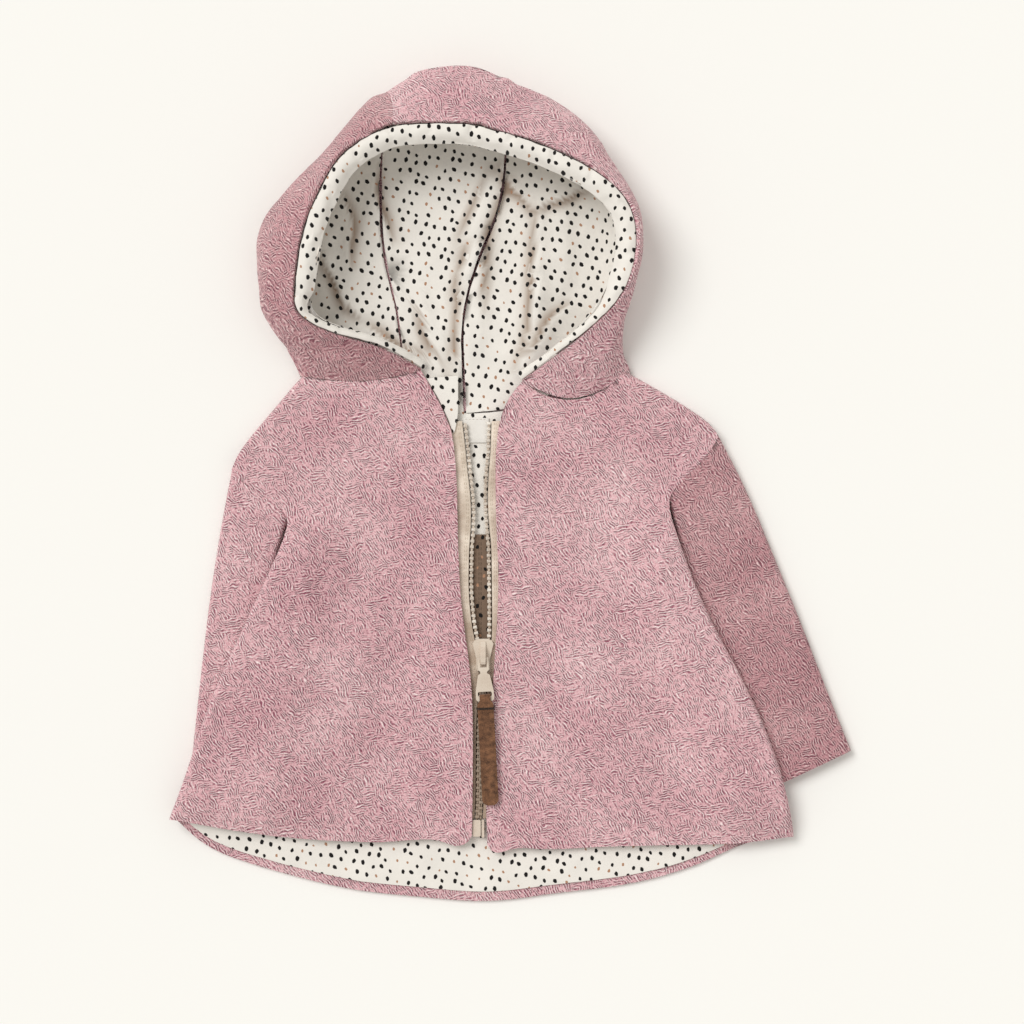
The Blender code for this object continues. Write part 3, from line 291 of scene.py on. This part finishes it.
def beside(x1, y1, x2, y2, bow, x, y):
    # share of the way along a bent line, and millimetres off it
    length = math.hypot(x2 - x1, y2 - y1)
    ux, uy = (x2 - x1) / length, (y2 - y1) / length
    along = ((x - x1) * ux + (y - y1) * uy) / length
    off = (x - x1) * uy - (y - y1) * ux - bow * 4 * along * (1 - along) - 1.1 * np.sin(9 * along + x1)
    return along, off


def ridges(rows, x, y):
    # uneven ridges, or troughs where high < 0
    total = np.zeros_like(x)
    for x1, y1, x2, y2, wide, high, bow, skew in rows:
        along, off = beside(x1, y1, x2, y2, bow, x, y)
        width = np.where(off > 0, wide * (1 + skew), wide * (1 - skew))
        ends = np.sin(np.pi * np.clip(along, 0.0, 1.0)) ** 0.8
        swell = 1 + 0.3 * np.sin(7.3 * along + y1) + 0.15 * np.sin(17 * along + x2)
        total += high * ends * swell * np.exp(-((off / width) ** 2))
    return total


def creases(rows, x, y):
    # sharp folds, with a width on either side, and a painted shade at the bottom of the steeper side
    total, paintedFootShade = np.zeros_like(x), np.zeros_like(x)
    for x1, y1, x2, y2, near, far, high, bow in rows:
        along, off = beside(x1, y1, x2, y2, bow, x, y)
        ends = np.sin(np.pi * np.clip(along, 0.0, 1.0)) ** 0.5
        total += high * ends * np.exp(-np.abs(off) / np.where(off > 0, near, far))
        steep = off if near < far else -off
        paintedFootShade += ends * np.exp(-(((steep - 1.6) / np.where(steep > 1.6, 4.5, 1.2)) ** 2))
    return total, np.clip(paintedFootShade, 0.0, 1.0)


def drawnTogether(points, neighbours):
    # closes a seam: edges are drawn to the pieces sewn to them
    for other in neighbours:
        skin = nodes[other].data
        tree = BVHTree.FromPolygons([corner.co / mm for corner in skin.vertices],
                                    [face.vertices for face in skin.polygons])
        for index, point in enumerate(points):
            spot, _, _, away = tree.find_nearest(Vector(point), seam["reach"])
            if spot is not None:
                fade = 1 - (away / seam["reach"]) ** 3
                points[index] += (np.array(spot) - point) * seam["share"] * fade


def lumps(points, size, seed):
    # soft noise from -1 to 1 at each point
    start = Vector((seed, seed * 1.7, 0.0))
    return np.array([noise.noise(Vector(point) / size + start) for point in points])


def clothCoordinates(mesh, bowl):
    # millimetres on the cloth: seen from above, and on up the walls of a bowl
    points = np.empty(len(mesh.vertices) * 3)
    mesh.vertices.foreach_get("co", points)
    points = points.reshape(-1, 3) / mm
    flat = points[:, :2].copy()
    if bowl:
        away = flat - np.array(bowl)
        away /= np.maximum(np.linalg.norm(away, axis=1, keepdims=True), 1.0)
        flat += away * np.maximum(points[:, 2:] - 5.0, 0.0)
    corners = np.empty(len(mesh.loops), dtype=np.int32)
    mesh.loops.foreach_get("vertex_index", corners)
    layer = mesh.uv_layers.new(name="cloth")
    layer.data.foreach_set("uv", flat[corners].ravel())


def finerWall(name, levels, edge):
    # the wall with its triangles paired, its rims kept, then subdivided and its edges rounded
    bm = bmesh.new()
    bm.from_mesh(nodes[name].data)
    bmesh.ops.remove_doubles(bm, verts=bm.verts, dist=0.00002)
    bmesh.ops.join_triangles(bm, faces=bm.faces, angle_face_threshold=3.1, angle_shape_threshold=3.1)
    rim = bm.edges.layers.float.new("crease_edge")
    for side in bm.edges:
        if len(side.link_faces) == 2 and side.calc_face_angle(0.0) > 1.0:
            side[rim] = 1.0
    mesh = bpy.data.meshes.new(name + "Cloth")
    bm.to_mesh(mesh)
    bm.free()
    coarse = bpy.data.objects.new(name + "Coarse", mesh)
    bpy.context.scene.collection.objects.link(coarse)
    finerSkin = coarse.modifiers.new("finer", "SUBSURF")
    finerSkin.levels = finerSkin.render_levels = max(1, levels + finer)
    softEdge = coarse.modifiers.new("softEdge", "BEVEL")
    softEdge.width, softEdge.segments = edge * mm, 2
    softEdge.limit_method, softEdge.angle_limit = "ANGLE", 0.9
    made = bpy.data.meshes.new_from_object(coarse.evaluated_get(bpy.context.evaluated_depsgraph_get()))
    bpy.data.objects.remove(coarse)
    stored = made.attributes.get("custom_normal")  # or the folds would be shaded as if they were flat
    if stored:
        made.attributes.remove(stored)
    return made


def fineCloth(name, surface, piece, sewnTo=(), printed=False, bowl=None):
    made = finerWall(name, piece["levels"], piece["edge"])
    if printed:
        clothCoordinates(made, bowl)
    count = len(made.vertices)
    points, facing = np.empty(count * 3), np.empty(count * 3)
    made.vertices.foreach_get("co", points)
    made.vertices.foreach_get("normal", facing)
    points, facing = points.reshape(-1, 3) / mm, facing.reshape(-1, 3)
    x, y = points[:, 0].copy(), points[:, 1].copy()
    moved = points.copy()
    drawnTogether(moved, sewnTo)
    folded, paintedFootShade = creases(piece.get("sharp", ()), x, y)
    moved[:, 2] += ridges(piece.get("up", ()), x, y) + folded
    # painted shade: how dark the cloth is painted at the bottom of the sharp folds
    if bowl:
        made.attributes.new("paintedFoldShade", "FLOAT", "POINT").data.foreach_set("value", paintedFootShade)
    if "out" in piece:
        away = np.stack((x - hoodMiddle[0], y - hoodMiddle[1]), axis=1)
        away /= np.linalg.norm(away, axis=1, keepdims=True)
        moved[:, :2] += away * ridges(piece["out"], x, y)[:, None]
    moved += facing * (lumps(points, piece.get("napSize", 4.0), len(name)) * piece["nap"])[:, None]
    moved[:, 2] = np.maximum(moved[:, 2], 0.0)
    made.vertices.foreach_set("co", (moved * mm).ravel())
    made.update()
    made.shade_smooth()
    made.materials.clear()
    made.materials.append(surface)
    cloth = bpy.data.objects.new(name + "Fine", made)
    bpy.context.scene.collection.objects.link(cloth)
    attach(cloth, "jacket")
    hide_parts(name)
    return cloth


backPiece = {"levels": 2, "edge": 0.9, "nap": 0.12, "cut": (0.42, 0.35, 0.70)}
fineCloth("back", wool, backPiece)

# rows of "up" and "out": x1, y1, x2, y2, width, height, bow, skew
frontRight = {
    "levels": 3, "edge": 0.9, "nap": 0.16, "cut": (0.20, 0.31, 0.72),
    "up": ((-84, -40, -112, -222, 20, 1.5, 4, 0.3), (-62, -70, -88, -190, 14, -1.2, 3, 0.2),
           (-146, -24, -106, -70, 6, 1.5, -3, 0.3), (-150, -34, -126, -104, 5, 1.1, -3, -0.3),
           (-140, -10, -98, -30, 6, 1.0, 2, 0.2), (-196, -190, -206, -226, 8, 1.2, 1, 0.2),
           (-150, -180, -158, -234, 9, 0.9, 2, 0.3), (-60, -165, -54, -240, 10, 1.0, 2, -0.2),
           (-128, -120, -148, -214, 11, -1.0, 2, 0.2), (-92, 40, -60, 12, 11, 0.9, 3, 0.2)),
}
fineCloth("front_right", wool, frontRight, ("hood_side_right", "sleeve_right", "back"))

frontLeft = {
    "levels": 3, "edge": 0.9, "nap": 0.16, "cut": (0.20, 0.316, 0.70),
    "up": ((26, 10, 70, -240, 21, 1.3, -5, 0.3), (66, -100, 92, -226, 12, 1.4, -3, -0.2),
           (86, -106, 116, -200, 12, -1.2, -3, 0.2), (103, -14, 74, -62, 6, 1.5, 3, 0.3),
           (108, -26, 92, -92, 5, 1.2, 3, -0.3), (96, 2, 62, -20, 6, 1.0, -2, 0.2),
           (150, -190, 158, -236, 9, 1.0, -1, 0.2), (28, -175, 24, -246, 9, 1.1, 2, 0.3),
           (124, -150, 136, -228, 9, 0.9, -2, 0.3), (40, 42, 60, 18, 11, 0.8, 3, 0.2)),
}
fineCloth("front_left", wool, frontLeft, ("hood_side_left", "sleeve_left", "back"))
print("body made")

sleeveRight = {
    "levels": 3, "edge": 0.8, "nap": 0.14, "cut": (0.115, 0.21, 0.86),
    "up": ((-192, -28, -160, -50, 6, 0.9, 2, 0.2), (-198, -74, -168, -86, 7, 0.8, 2, 0.3),
           (-204, -128, -174, -136, 8, 0.7, -2, 0.2)),
}
fineCloth("sleeve_right", wool, sleeveRight, ("front_right",))

sleeveLeft = {
    "levels": 3, "edge": 0.8, "nap": 0.14, "cut": (0.14, 0.215, 0.86),
    "up": ((152, 2, 122, -34, 7, 1.0, -2, 0.2), (172, -40, 134, -62, 7, 0.9, 2, 0.3),
           (190, -80, 152, -100, 8, 0.9, -2, 0.2), (206, -122, 172, -142, 9, 0.8, 2, 0.2),
           (176, -60, 206, -150, 9, 0.8, 2, 0.3)),
}
fineCloth("sleeve_left", paintedShadeWool, sleeveLeft, ("front_left",))
print("sleeves made")

hoodWool = {
    "levels": 3, "edge": 0.8, "nap": 0.16,
    "up": ((-140, 86, -86, 82, 5, 1.4, 2, 0.3), (-132, 94, -96, 92, 6, -1.0, 2, 0.2),
           (72, 102, 66, 76, 5, 1.4, 1, 0.3), (58, 96, 54, 78, 5, 1.0, 1, 0.2),
           (40, 88, 44, 76, 4, 0.8, 0, 0.2)),
    "out": ((-172, 150, -150, 96, 10, -1.4, 3, 0.2), (-150, 212, -120, 236, 9, -1.2, 2, 0.2),
            (92, 150, 78, 104, 9, -1.4, -3, 0.2), (64, 226, 84, 204, 8, -1.0, 2, 0.2),
            (0, 262, 30, 246, 8, -1.0, 2, 0.2)),
    "panels": {  # surface, cut, sewn to
        "hood_side_right": (paintedShadeWool, (0.17, 0.23, 0.72), ("hood_centre", "front_right")),
        "hood_side_left": (wool, (0.17, 0.25, 0.72), ("hood_centre", "front_left")),
        "hood_centre": (wool, (0.085, 0.27, 0.72), ("hood_side_right", "hood_side_left")),
    },
}
for name, (surface, cut, sewnTo) in hoodWool["panels"].items():
    fineCloth(name, surface, hoodWool, sewnTo)

# rows of "sharp": x1, y1, x2, y2, width on one side, width on the other, height, bow
hoodLining = {
    "levels": 3, "edge": 0.3, "nap": 0.35, "napSize": 9.0,
    "sharp": ((17, 190, 5, 72, 1.8, 18.0, 8.0, -5), (-9, 213, -34, 120, 1.8, 10.0, 6.0, 5),
              (-2, 206, -20, 112, 8.0, 2.0, 5.0, 6), (-31, 140, -36, 60, 1.8, 7.0, 4.0, 1),
              (-8, 214, 18, 180, 2.0, 8.0, 6.0, 2), (16, 180, 56, 196, 2.0, 10.0, 5.0, -3),
              (-124, 154, -96, 108, 2.0, 9.0, 4.0, 4), (-98, 106, -54, 82, 7.0, 2.0, 4.0, 2),
              (-90, 214, -78, 158, 9.0, 2.2, 4.0, 3), (42, 122, 12, 82, 2.0, 10.0, 3.5, 3),
              (-112, 196, -108, 140, 8.0, 2.4, 3.0, -4), (-60, 120, -46, 84, 2.0, 7.0, 2.5, 2)),
    "up": ((-41, 112, -43, 82, 4, 1.8, 1, 0.2),
           (-58, 150, -50, 92, 6, 2.2, 3, 0.4), (-96, 206, -90, 150, 8, 2.4, -4, 0.3),
           (-118, 180, -122, 118, 9, 2.6, 4, 0.3), (-100, 126, -76, 96, 7, 2.0, 3, 0.3),
           (36, 196, 30, 120, 8, 2.4, -5, 0.3), (20, 150, 26, 96, 6, 2.2, 3, 0.3),
           (-70, 214, -52, 176, 8, 2.0, 3, 0.3), (-14, 120, -22, 84, 5, 2.2, 2, 0.3)),
    "panels": {  # cut, sewn to
        "hood_lining_right": ((0.15, 0.22, 0.72), ("hood_lining_centre",)),
        "hood_lining_left": ((0.155, 0.24, 0.72), ("hood_lining_centre",)),
        "hood_lining_centre": ((0.078, 0.245, 0.80),
                               ("hood_lining_right", "hood_lining_left", "back_lining")),
    },
}
for name, (cut, sewnTo) in hoodLining["panels"].items():
    fineCloth(name, jersey, hoodLining, sewnTo, True, bowlMiddle)

bindingRoll = {
    "levels": 3, "edge": 0.3, "nap": 0.6, "napSize": 7.0, "cut": (0.016, 0.58, 0.8),
    "sharp": ((-79, 240, -76, 222, 1.6, 1.6, -1.9, 0), (-23, 240, -26, 222, 1.4, 2.4, -2.2, 0),
              (6, 236, 0, 220, 1.4, 2.6, -1.8, 1), (-52, 242, -51, 226, 1.8, 1.4, -1.3, 0),
              (88, 180, 70, 182, 1.5, 2.2, -1.8, 0), (90, 148, 74, 150, 2.0, 1.5, -1.5, 0),
              (62, 96, 52, 110, 1.5, 2.0, -1.5, 0), (-142, 122, -126, 120, 1.5, 2.0, -1.8, 0),
              (-144, 162, -128, 160, 1.6, 2.2, -1.7, 0), (-112, 98, -106, 112, 1.6, 1.8, -1.4, 0),
              (-128, 196, -114, 188, 1.6, 2.2, -1.7, 0), (-106, 222, -96, 210, 1.6, 2.0, -1.6, 0),
              (34, 224, 26, 208, 2.2, 1.5, -1.7, 0), (60, 208, 48, 196, 1.5, 2.2, -1.6, 0)),
}
hoodEdge = ("hood_side_right", "hood_centre", "hood_side_left")
fineCloth("hood_binding", jersey, bindingRoll, hoodEdge, True)
print("hood made")

backLining = {
    "levels": 2, "edge": 0.3, "nap": 0.15, "cut": (0.41, 0.345, 0.70),
    "up": ((-184, -224, -172, -262, 6, 1.4, 2, 0.3), (-150, -232, -144, -268, 7, 1.2, 2, 0.3),
           (-100, -236, -96, -272, 8, 0.9, 1, 0.2), (40, -240, 46, -274, 7, 1.1, 2, 0.3),
           (112, -236, 104, -266, 7, 1.2, -2, 0.3), (-24, 40, -20, 4, 6, 0.8, 1, 0.2)),
}
fineCloth("back_lining", jersey, backLining, ("hood_lining_centre",), True)

smallCloth = {
    "levels": 2, "edge": 0.2, "nap": 0.06,
    "pieces": {  # surface, cut, slot, with the print or plain
        "zip_underflap": (paintedShadeJersey, (0.026, 0.182, 1.0), "dotted_jersey", True),
        "chin_guard": (jersey, (0.021, 0.039, 0.6), "dotted_jersey", True),
        "neck_label": (label, (0.017, 0.0164, 1.0), "woven_label", False),
        "zip_tape_right": (tape, (0.0145, 0.263, 0.5), "zip_tape", False),
        "zip_tape_left": (tape, (0.0145, 0.263, 0.5), "zip_tape", False),
    },
}
for name, (surface, cut, slotName, printed) in smallCloth["pieces"].items():
    fineCloth(name, surface, smallCloth, printed=printed)
print("linings and tapes made")


# Zip
def rowsOf(name):
    # a strip's rows in millimetres: y, lowest and highest x, middle and highest z
    table = {}
    for vertex in nodes[name].data.vertices:
        x, y, z = vertex.co / mm
        table.setdefault(round(y, 1), []).append((x, z))
    rows = []
    for y, ends in sorted(table.items()):
        xs, zs = zip(*ends)
        rows.append((y, min(xs), max(xs), (min(zs) + max(zs)) / 2, max(zs)))
    return np.array(rows).T


def placed(name, bm, surface, body, replaced=()):
    mesh = bpy.data.meshes.new(name)
    bm.to_mesh(mesh)
    bm.free()
    mesh.shade_smooth()
    mesh.materials.append(surface)
    obj = bpy.data.objects.new(name, mesh)
    bpy.context.scene.collection.objects.link(obj)
    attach(obj, body)
    if replaced:
        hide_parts(*replaced)
    return obj


def rounding(obj, width):
    bevel = obj.modifiers.new("rounding", "BEVEL")
    bevel.width, bevel.segments = width * mm, 2
    bevel.limit_method, bevel.angle_limit = "ANGLE", 0.6
    bevel.harden_normals = False


toothRow = {"pitch": 3.8, "deep": 1.75, "high": 2.3, "wide": 0.88, "rounding": 0.3,
            "head": {"wide": 0.42, "deep": 1.3, "high": 0.92, "back": -0.3},  # shares of the tooth
            "closedBelow": -122, "closedReach": 1.0, "closedShift": 0.45,
            "rows": (("right", -1, 0.0), ("left", 1, 0.5))}  # side, its sign in x, start in pitches
head = toothRow["head"]
for side, sign, start in toothRow["rows"]:
    y, low, high, middle, _ = rowsOf("zip_teeth_" + side)
    bm = bmesh.new()
    first = y[0] + 1.2 + toothRow["pitch"] * start
    for at in np.arange(first, y[-1] - 0.6, toothRow["pitch"]):
        x = (np.interp(at, y, low) + np.interp(at, y, high)) / 2
        slope = (np.interp(at + 2, y, low) - np.interp(at - 2, y, low)) / 4
        lean = Matrix.Rotation(-math.atan(slope), 4, "Z")
        wide = (np.interp(at, y, high) - np.interp(at, y, low)) * toothRow["wide"]
        closed = toothRow["closedReach"] if at < toothRow["closedBelow"] else 0.0
        x -= sign * closed * toothRow["closedShift"]
        spot = Matrix.Translation(Vector((x, at, np.interp(at, y, middle))) * mm)
        neck = (wide + closed, toothRow["deep"], toothRow["high"], 0.0)
        knob = (wide * head["wide"], toothRow["deep"] * head["deep"],
                toothRow["high"] * head["high"], head["back"])
        for length, deep, tall, shift in (neck, knob):
            aside = Matrix.Translation((sign * shift * wide * mm, 0, 0))
            shape = Matrix.Diagonal((length * mm, deep * mm, tall * mm, 1))
            bmesh.ops.create_cube(bm, size=1.0, matrix=spot @ lean @ aside @ shape)
    teeth = placed("teeth" + side.capitalize(), bm, paleTeeth, "jacket",
                   ("zip_teeth_" + side,))
    rounding(teeth, toothRow["rounding"])

cord = {"step": 2.0, "wide": 0.5, "high": 0.6}  # the tapes' thick edges, which show between the teeth
bm = bmesh.new()
for side in ("right", "left"):
    y, low, high, middle, _ = rowsOf("zip_teeth_" + side)
    for at in np.arange(y[0] + 0.5, y[-1] - 0.5, cord["step"]):
        left, right = np.interp(at, y, low), np.interp(at, y, high)
        spot = Matrix.Translation(Vector(((left + right) / 2, at, np.interp(at, y, middle))) * mm)
        length = cord["step"] * 1.03  # a little overlap
        shape = Matrix.Diagonal(((right - left) * cord["wide"] * mm, length * mm, cord["high"] * mm, 1))
        bmesh.ops.create_cube(bm, size=1.0, matrix=spot @ shape)
placed("toothCords", bm, tape, "jacket")

hardParts = {  # surface, slot, rounding in millimetres
    "zip_slider": (plastic, "moulded_plastic", 0.3),
    "zip_box": (plastic, "moulded_plastic", 0.35),
    "zip_pin": (plastic, "moulded_plastic", 0.3),
    "zip_pull": (plastic, "moulded_plastic", 0.25),
    "leather_tab": (leather, "leather", 0.35),
}
for name, (surface, slotName, width) in hardParts.items():
    nodes[name].data.materials.clear()
    nodes[name].data.materials.append(surface)
    rounding(nodes[name], width)
print("zip made")


# Sewing
def threadLine(name, points, radius, surface, body, replaced):
    curve = bpy.data.curves.new(name, "CURVE")
    curve.dimensions = "3D"
    curve.bevel_depth, curve.bevel_resolution = radius * mm, 1
    spline = curve.splines.new("POLY")
    spline.points.add(len(points) - 1)
    for target, point in zip(spline.points, points):
        target.co = (*(Vector(point) * mm), 1.0)
    curve.materials.append(surface)
    obj = bpy.data.objects.new(name, curve)
    bpy.context.scene.collection.objects.link(obj)
    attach(obj, body)
    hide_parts(*replaced)


wound = {"turns": 2, "steps": 24, "pitch": 0.75, "radius": 0.27, "lean": 3.0}  # round the leather tab
low, high = (np.array(corner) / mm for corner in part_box("tab_thread"))
centre, half = (low + high) / 2, (high - low) / 2
lean = math.radians(wound["lean"])
loops = []
for step in range(wound["steps"] * wound["turns"] + 1):
    angle = 2 * math.pi * step / wound["steps"]
    flatX = half[0] * 0.965 * math.copysign(abs(math.cos(angle)) ** 0.35, math.cos(angle))
    flatZ = (half[2] - 0.35) * math.copysign(abs(math.sin(angle)) ** 0.5, math.sin(angle))
    drop = wound["pitch"] * (step / wound["steps"] - wound["turns"] / 2)
    loops.append((centre[0] + flatX * math.cos(lean) - drop * math.sin(lean),
                  centre[1] + drop + flatX * math.sin(lean), centre[2] + flatZ))
threadLine("woundThread", loops, wound["radius"], thread, "pull", ("tab_thread",))


def stitches(name, lines, surface, long, gap, thick):
    # short raised stitches along lines of points, in millimetres
    bm = bmesh.new()
    for line in lines:
        line = np.array(line, float)
        run = np.append(0.0, np.cumsum(np.linalg.norm(np.diff(line, axis=0), axis=1)))
        for start in np.arange(0.4, run[-1] - long, long + gap):
            ends = []
            for reach in (start, start + long):
                ends.append(np.array([np.interp(reach, run, line[:, axis]) for axis in range(3)]))
            across = Vector(ends[1] - ends[0])
            turn = across.to_track_quat("Y", "Z").to_matrix().to_4x4()
            shape = Matrix.Diagonal((thick * 2 * mm, across.length * mm, thick * 2 * mm, 1))
            spot = Matrix.Translation(Vector((ends[0] + ends[1]) / 2) * mm)
            bmesh.ops.create_icosphere(bm, subdivisions=1, radius=0.5, matrix=spot @ turn @ shape)
    placed(name, bm, surface, "jacket")


tapeSeam = {"inset": 1.76, "apart": 1.2, "long": 1.9, "gap": 0.9, "thick": 0.15,
            "sides": (("right", -1), ("left", 1))}
lines = []
for side, sign in tapeSeam["sides"]:
    y, low, high, _, top = rowsOf("zip_tape_" + side)
    near = (high if sign < 0 else low) + sign * tapeSeam["inset"]
    for shift in (0.0, tapeSeam["apart"]):
        lines.append([(x + sign * shift, at, z + 0.12) for x, at, z in zip(near, y, top)])
stitches("tapeStitches", lines, sewing, tapeSeam["long"], tapeSeam["gap"], tapeSeam["thick"])

flapSeam = {"columns": (-20.6, -19.2), "end": -110, "long": 3.0, "gap": 0.3, "thick": 0.12}
_, flapTop = (np.array(corner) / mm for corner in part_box("zip_underflap"))
level = flapTop[2] + 0.1
lines = [[(x, flapTop[1] - 1, level), (x, flapSeam["end"], level)] for x in flapSeam["columns"]]
stitches("flapStitches", lines, thread,
         flapSeam["long"], flapSeam["gap"], flapSeam["thick"])

labelSeam = {"inset": 0.8, "below": 1.0, "long": 1.6, "gap": 0.8, "thick": 0.13}
labelLow, labelTop = (np.array(corner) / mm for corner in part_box("neck_label"))
edgeY, level = labelTop[1] - labelSeam["below"], labelTop[2] + 0.1
line = [(labelLow[0] + labelSeam["inset"], edgeY, level), (labelTop[0] - labelSeam["inset"], edgeY, level)]
stitches("labelStitches", [line], sewing,
         labelSeam["long"], labelSeam["gap"], labelSeam["thick"])
print("sewing made")

# Floor, light and camera
floorLook = {"size": 60.0, "drop": 0.0004, "colour": (0.92, 0.915, 0.885)}
bpy.ops.mesh.primitive_plane_add(size=floorLook["size"], location=(0, 0, -floorLook["drop"]))
floor = bpy.context.object
floor.name = "floor"
paper = bpy.data.materials.new("paleFloor")
paper.use_nodes = True
paperShader = paper.node_tree.nodes["Principled BSDF"]
paperShader.inputs["Base Color"].default_value = (*floorLook["colour"], 1)
paperShader.inputs["Roughness"].default_value = 0.9
paperShader.inputs["Specular IOR Level"].default_value = 0.1
floor.data.materials.append(paper)

light = {"from": (-0.62, 0.50, 1.0), "soft": 0.55, "key": 1.66, "keyColour": (1.0, 0.995, 0.985),
         "sky": 0.645, "skyColour": (1.0, 0.975, 0.93)}
bpy.context.scene.view_settings.view_transform = "Standard"
world = bpy.data.worlds.new("studio")
world.use_nodes = True
sky = world.node_tree.nodes["Background"]
sky.inputs["Color"].default_value = (*light["skyColour"], 1)
sky.inputs["Strength"].default_value = light["sky"]
bpy.context.scene.world = world
lamp = bpy.data.lights.new("softWindow", "SUN")
lamp.angle, lamp.energy, lamp.color = light["soft"], light["key"], light["keyColour"]
window = bpy.data.objects.new("softWindow", lamp)
window.rotation_euler = Vector(light["from"]).to_track_quat("Z", "Y").to_euler()
bpy.context.scene.collection.objects.link(window)

shot = {"centre": (0.0013, -0.01815), "height": 1.95, "field": 0.676, "level": 0.012, "sensor": 36.0}
eye = bpy.data.cameras.new("topView")
eye.sensor_width = shot["sensor"]
eye.lens = shot["sensor"] * (shot["height"] - shot["level"]) / shot["field"]
camera = bpy.data.objects.new("topView", eye)
camera.location = (*shot["centre"], shot["height"])
bpy.context.scene.collection.objects.link(camera)
bpy.context.scene.camera = camera
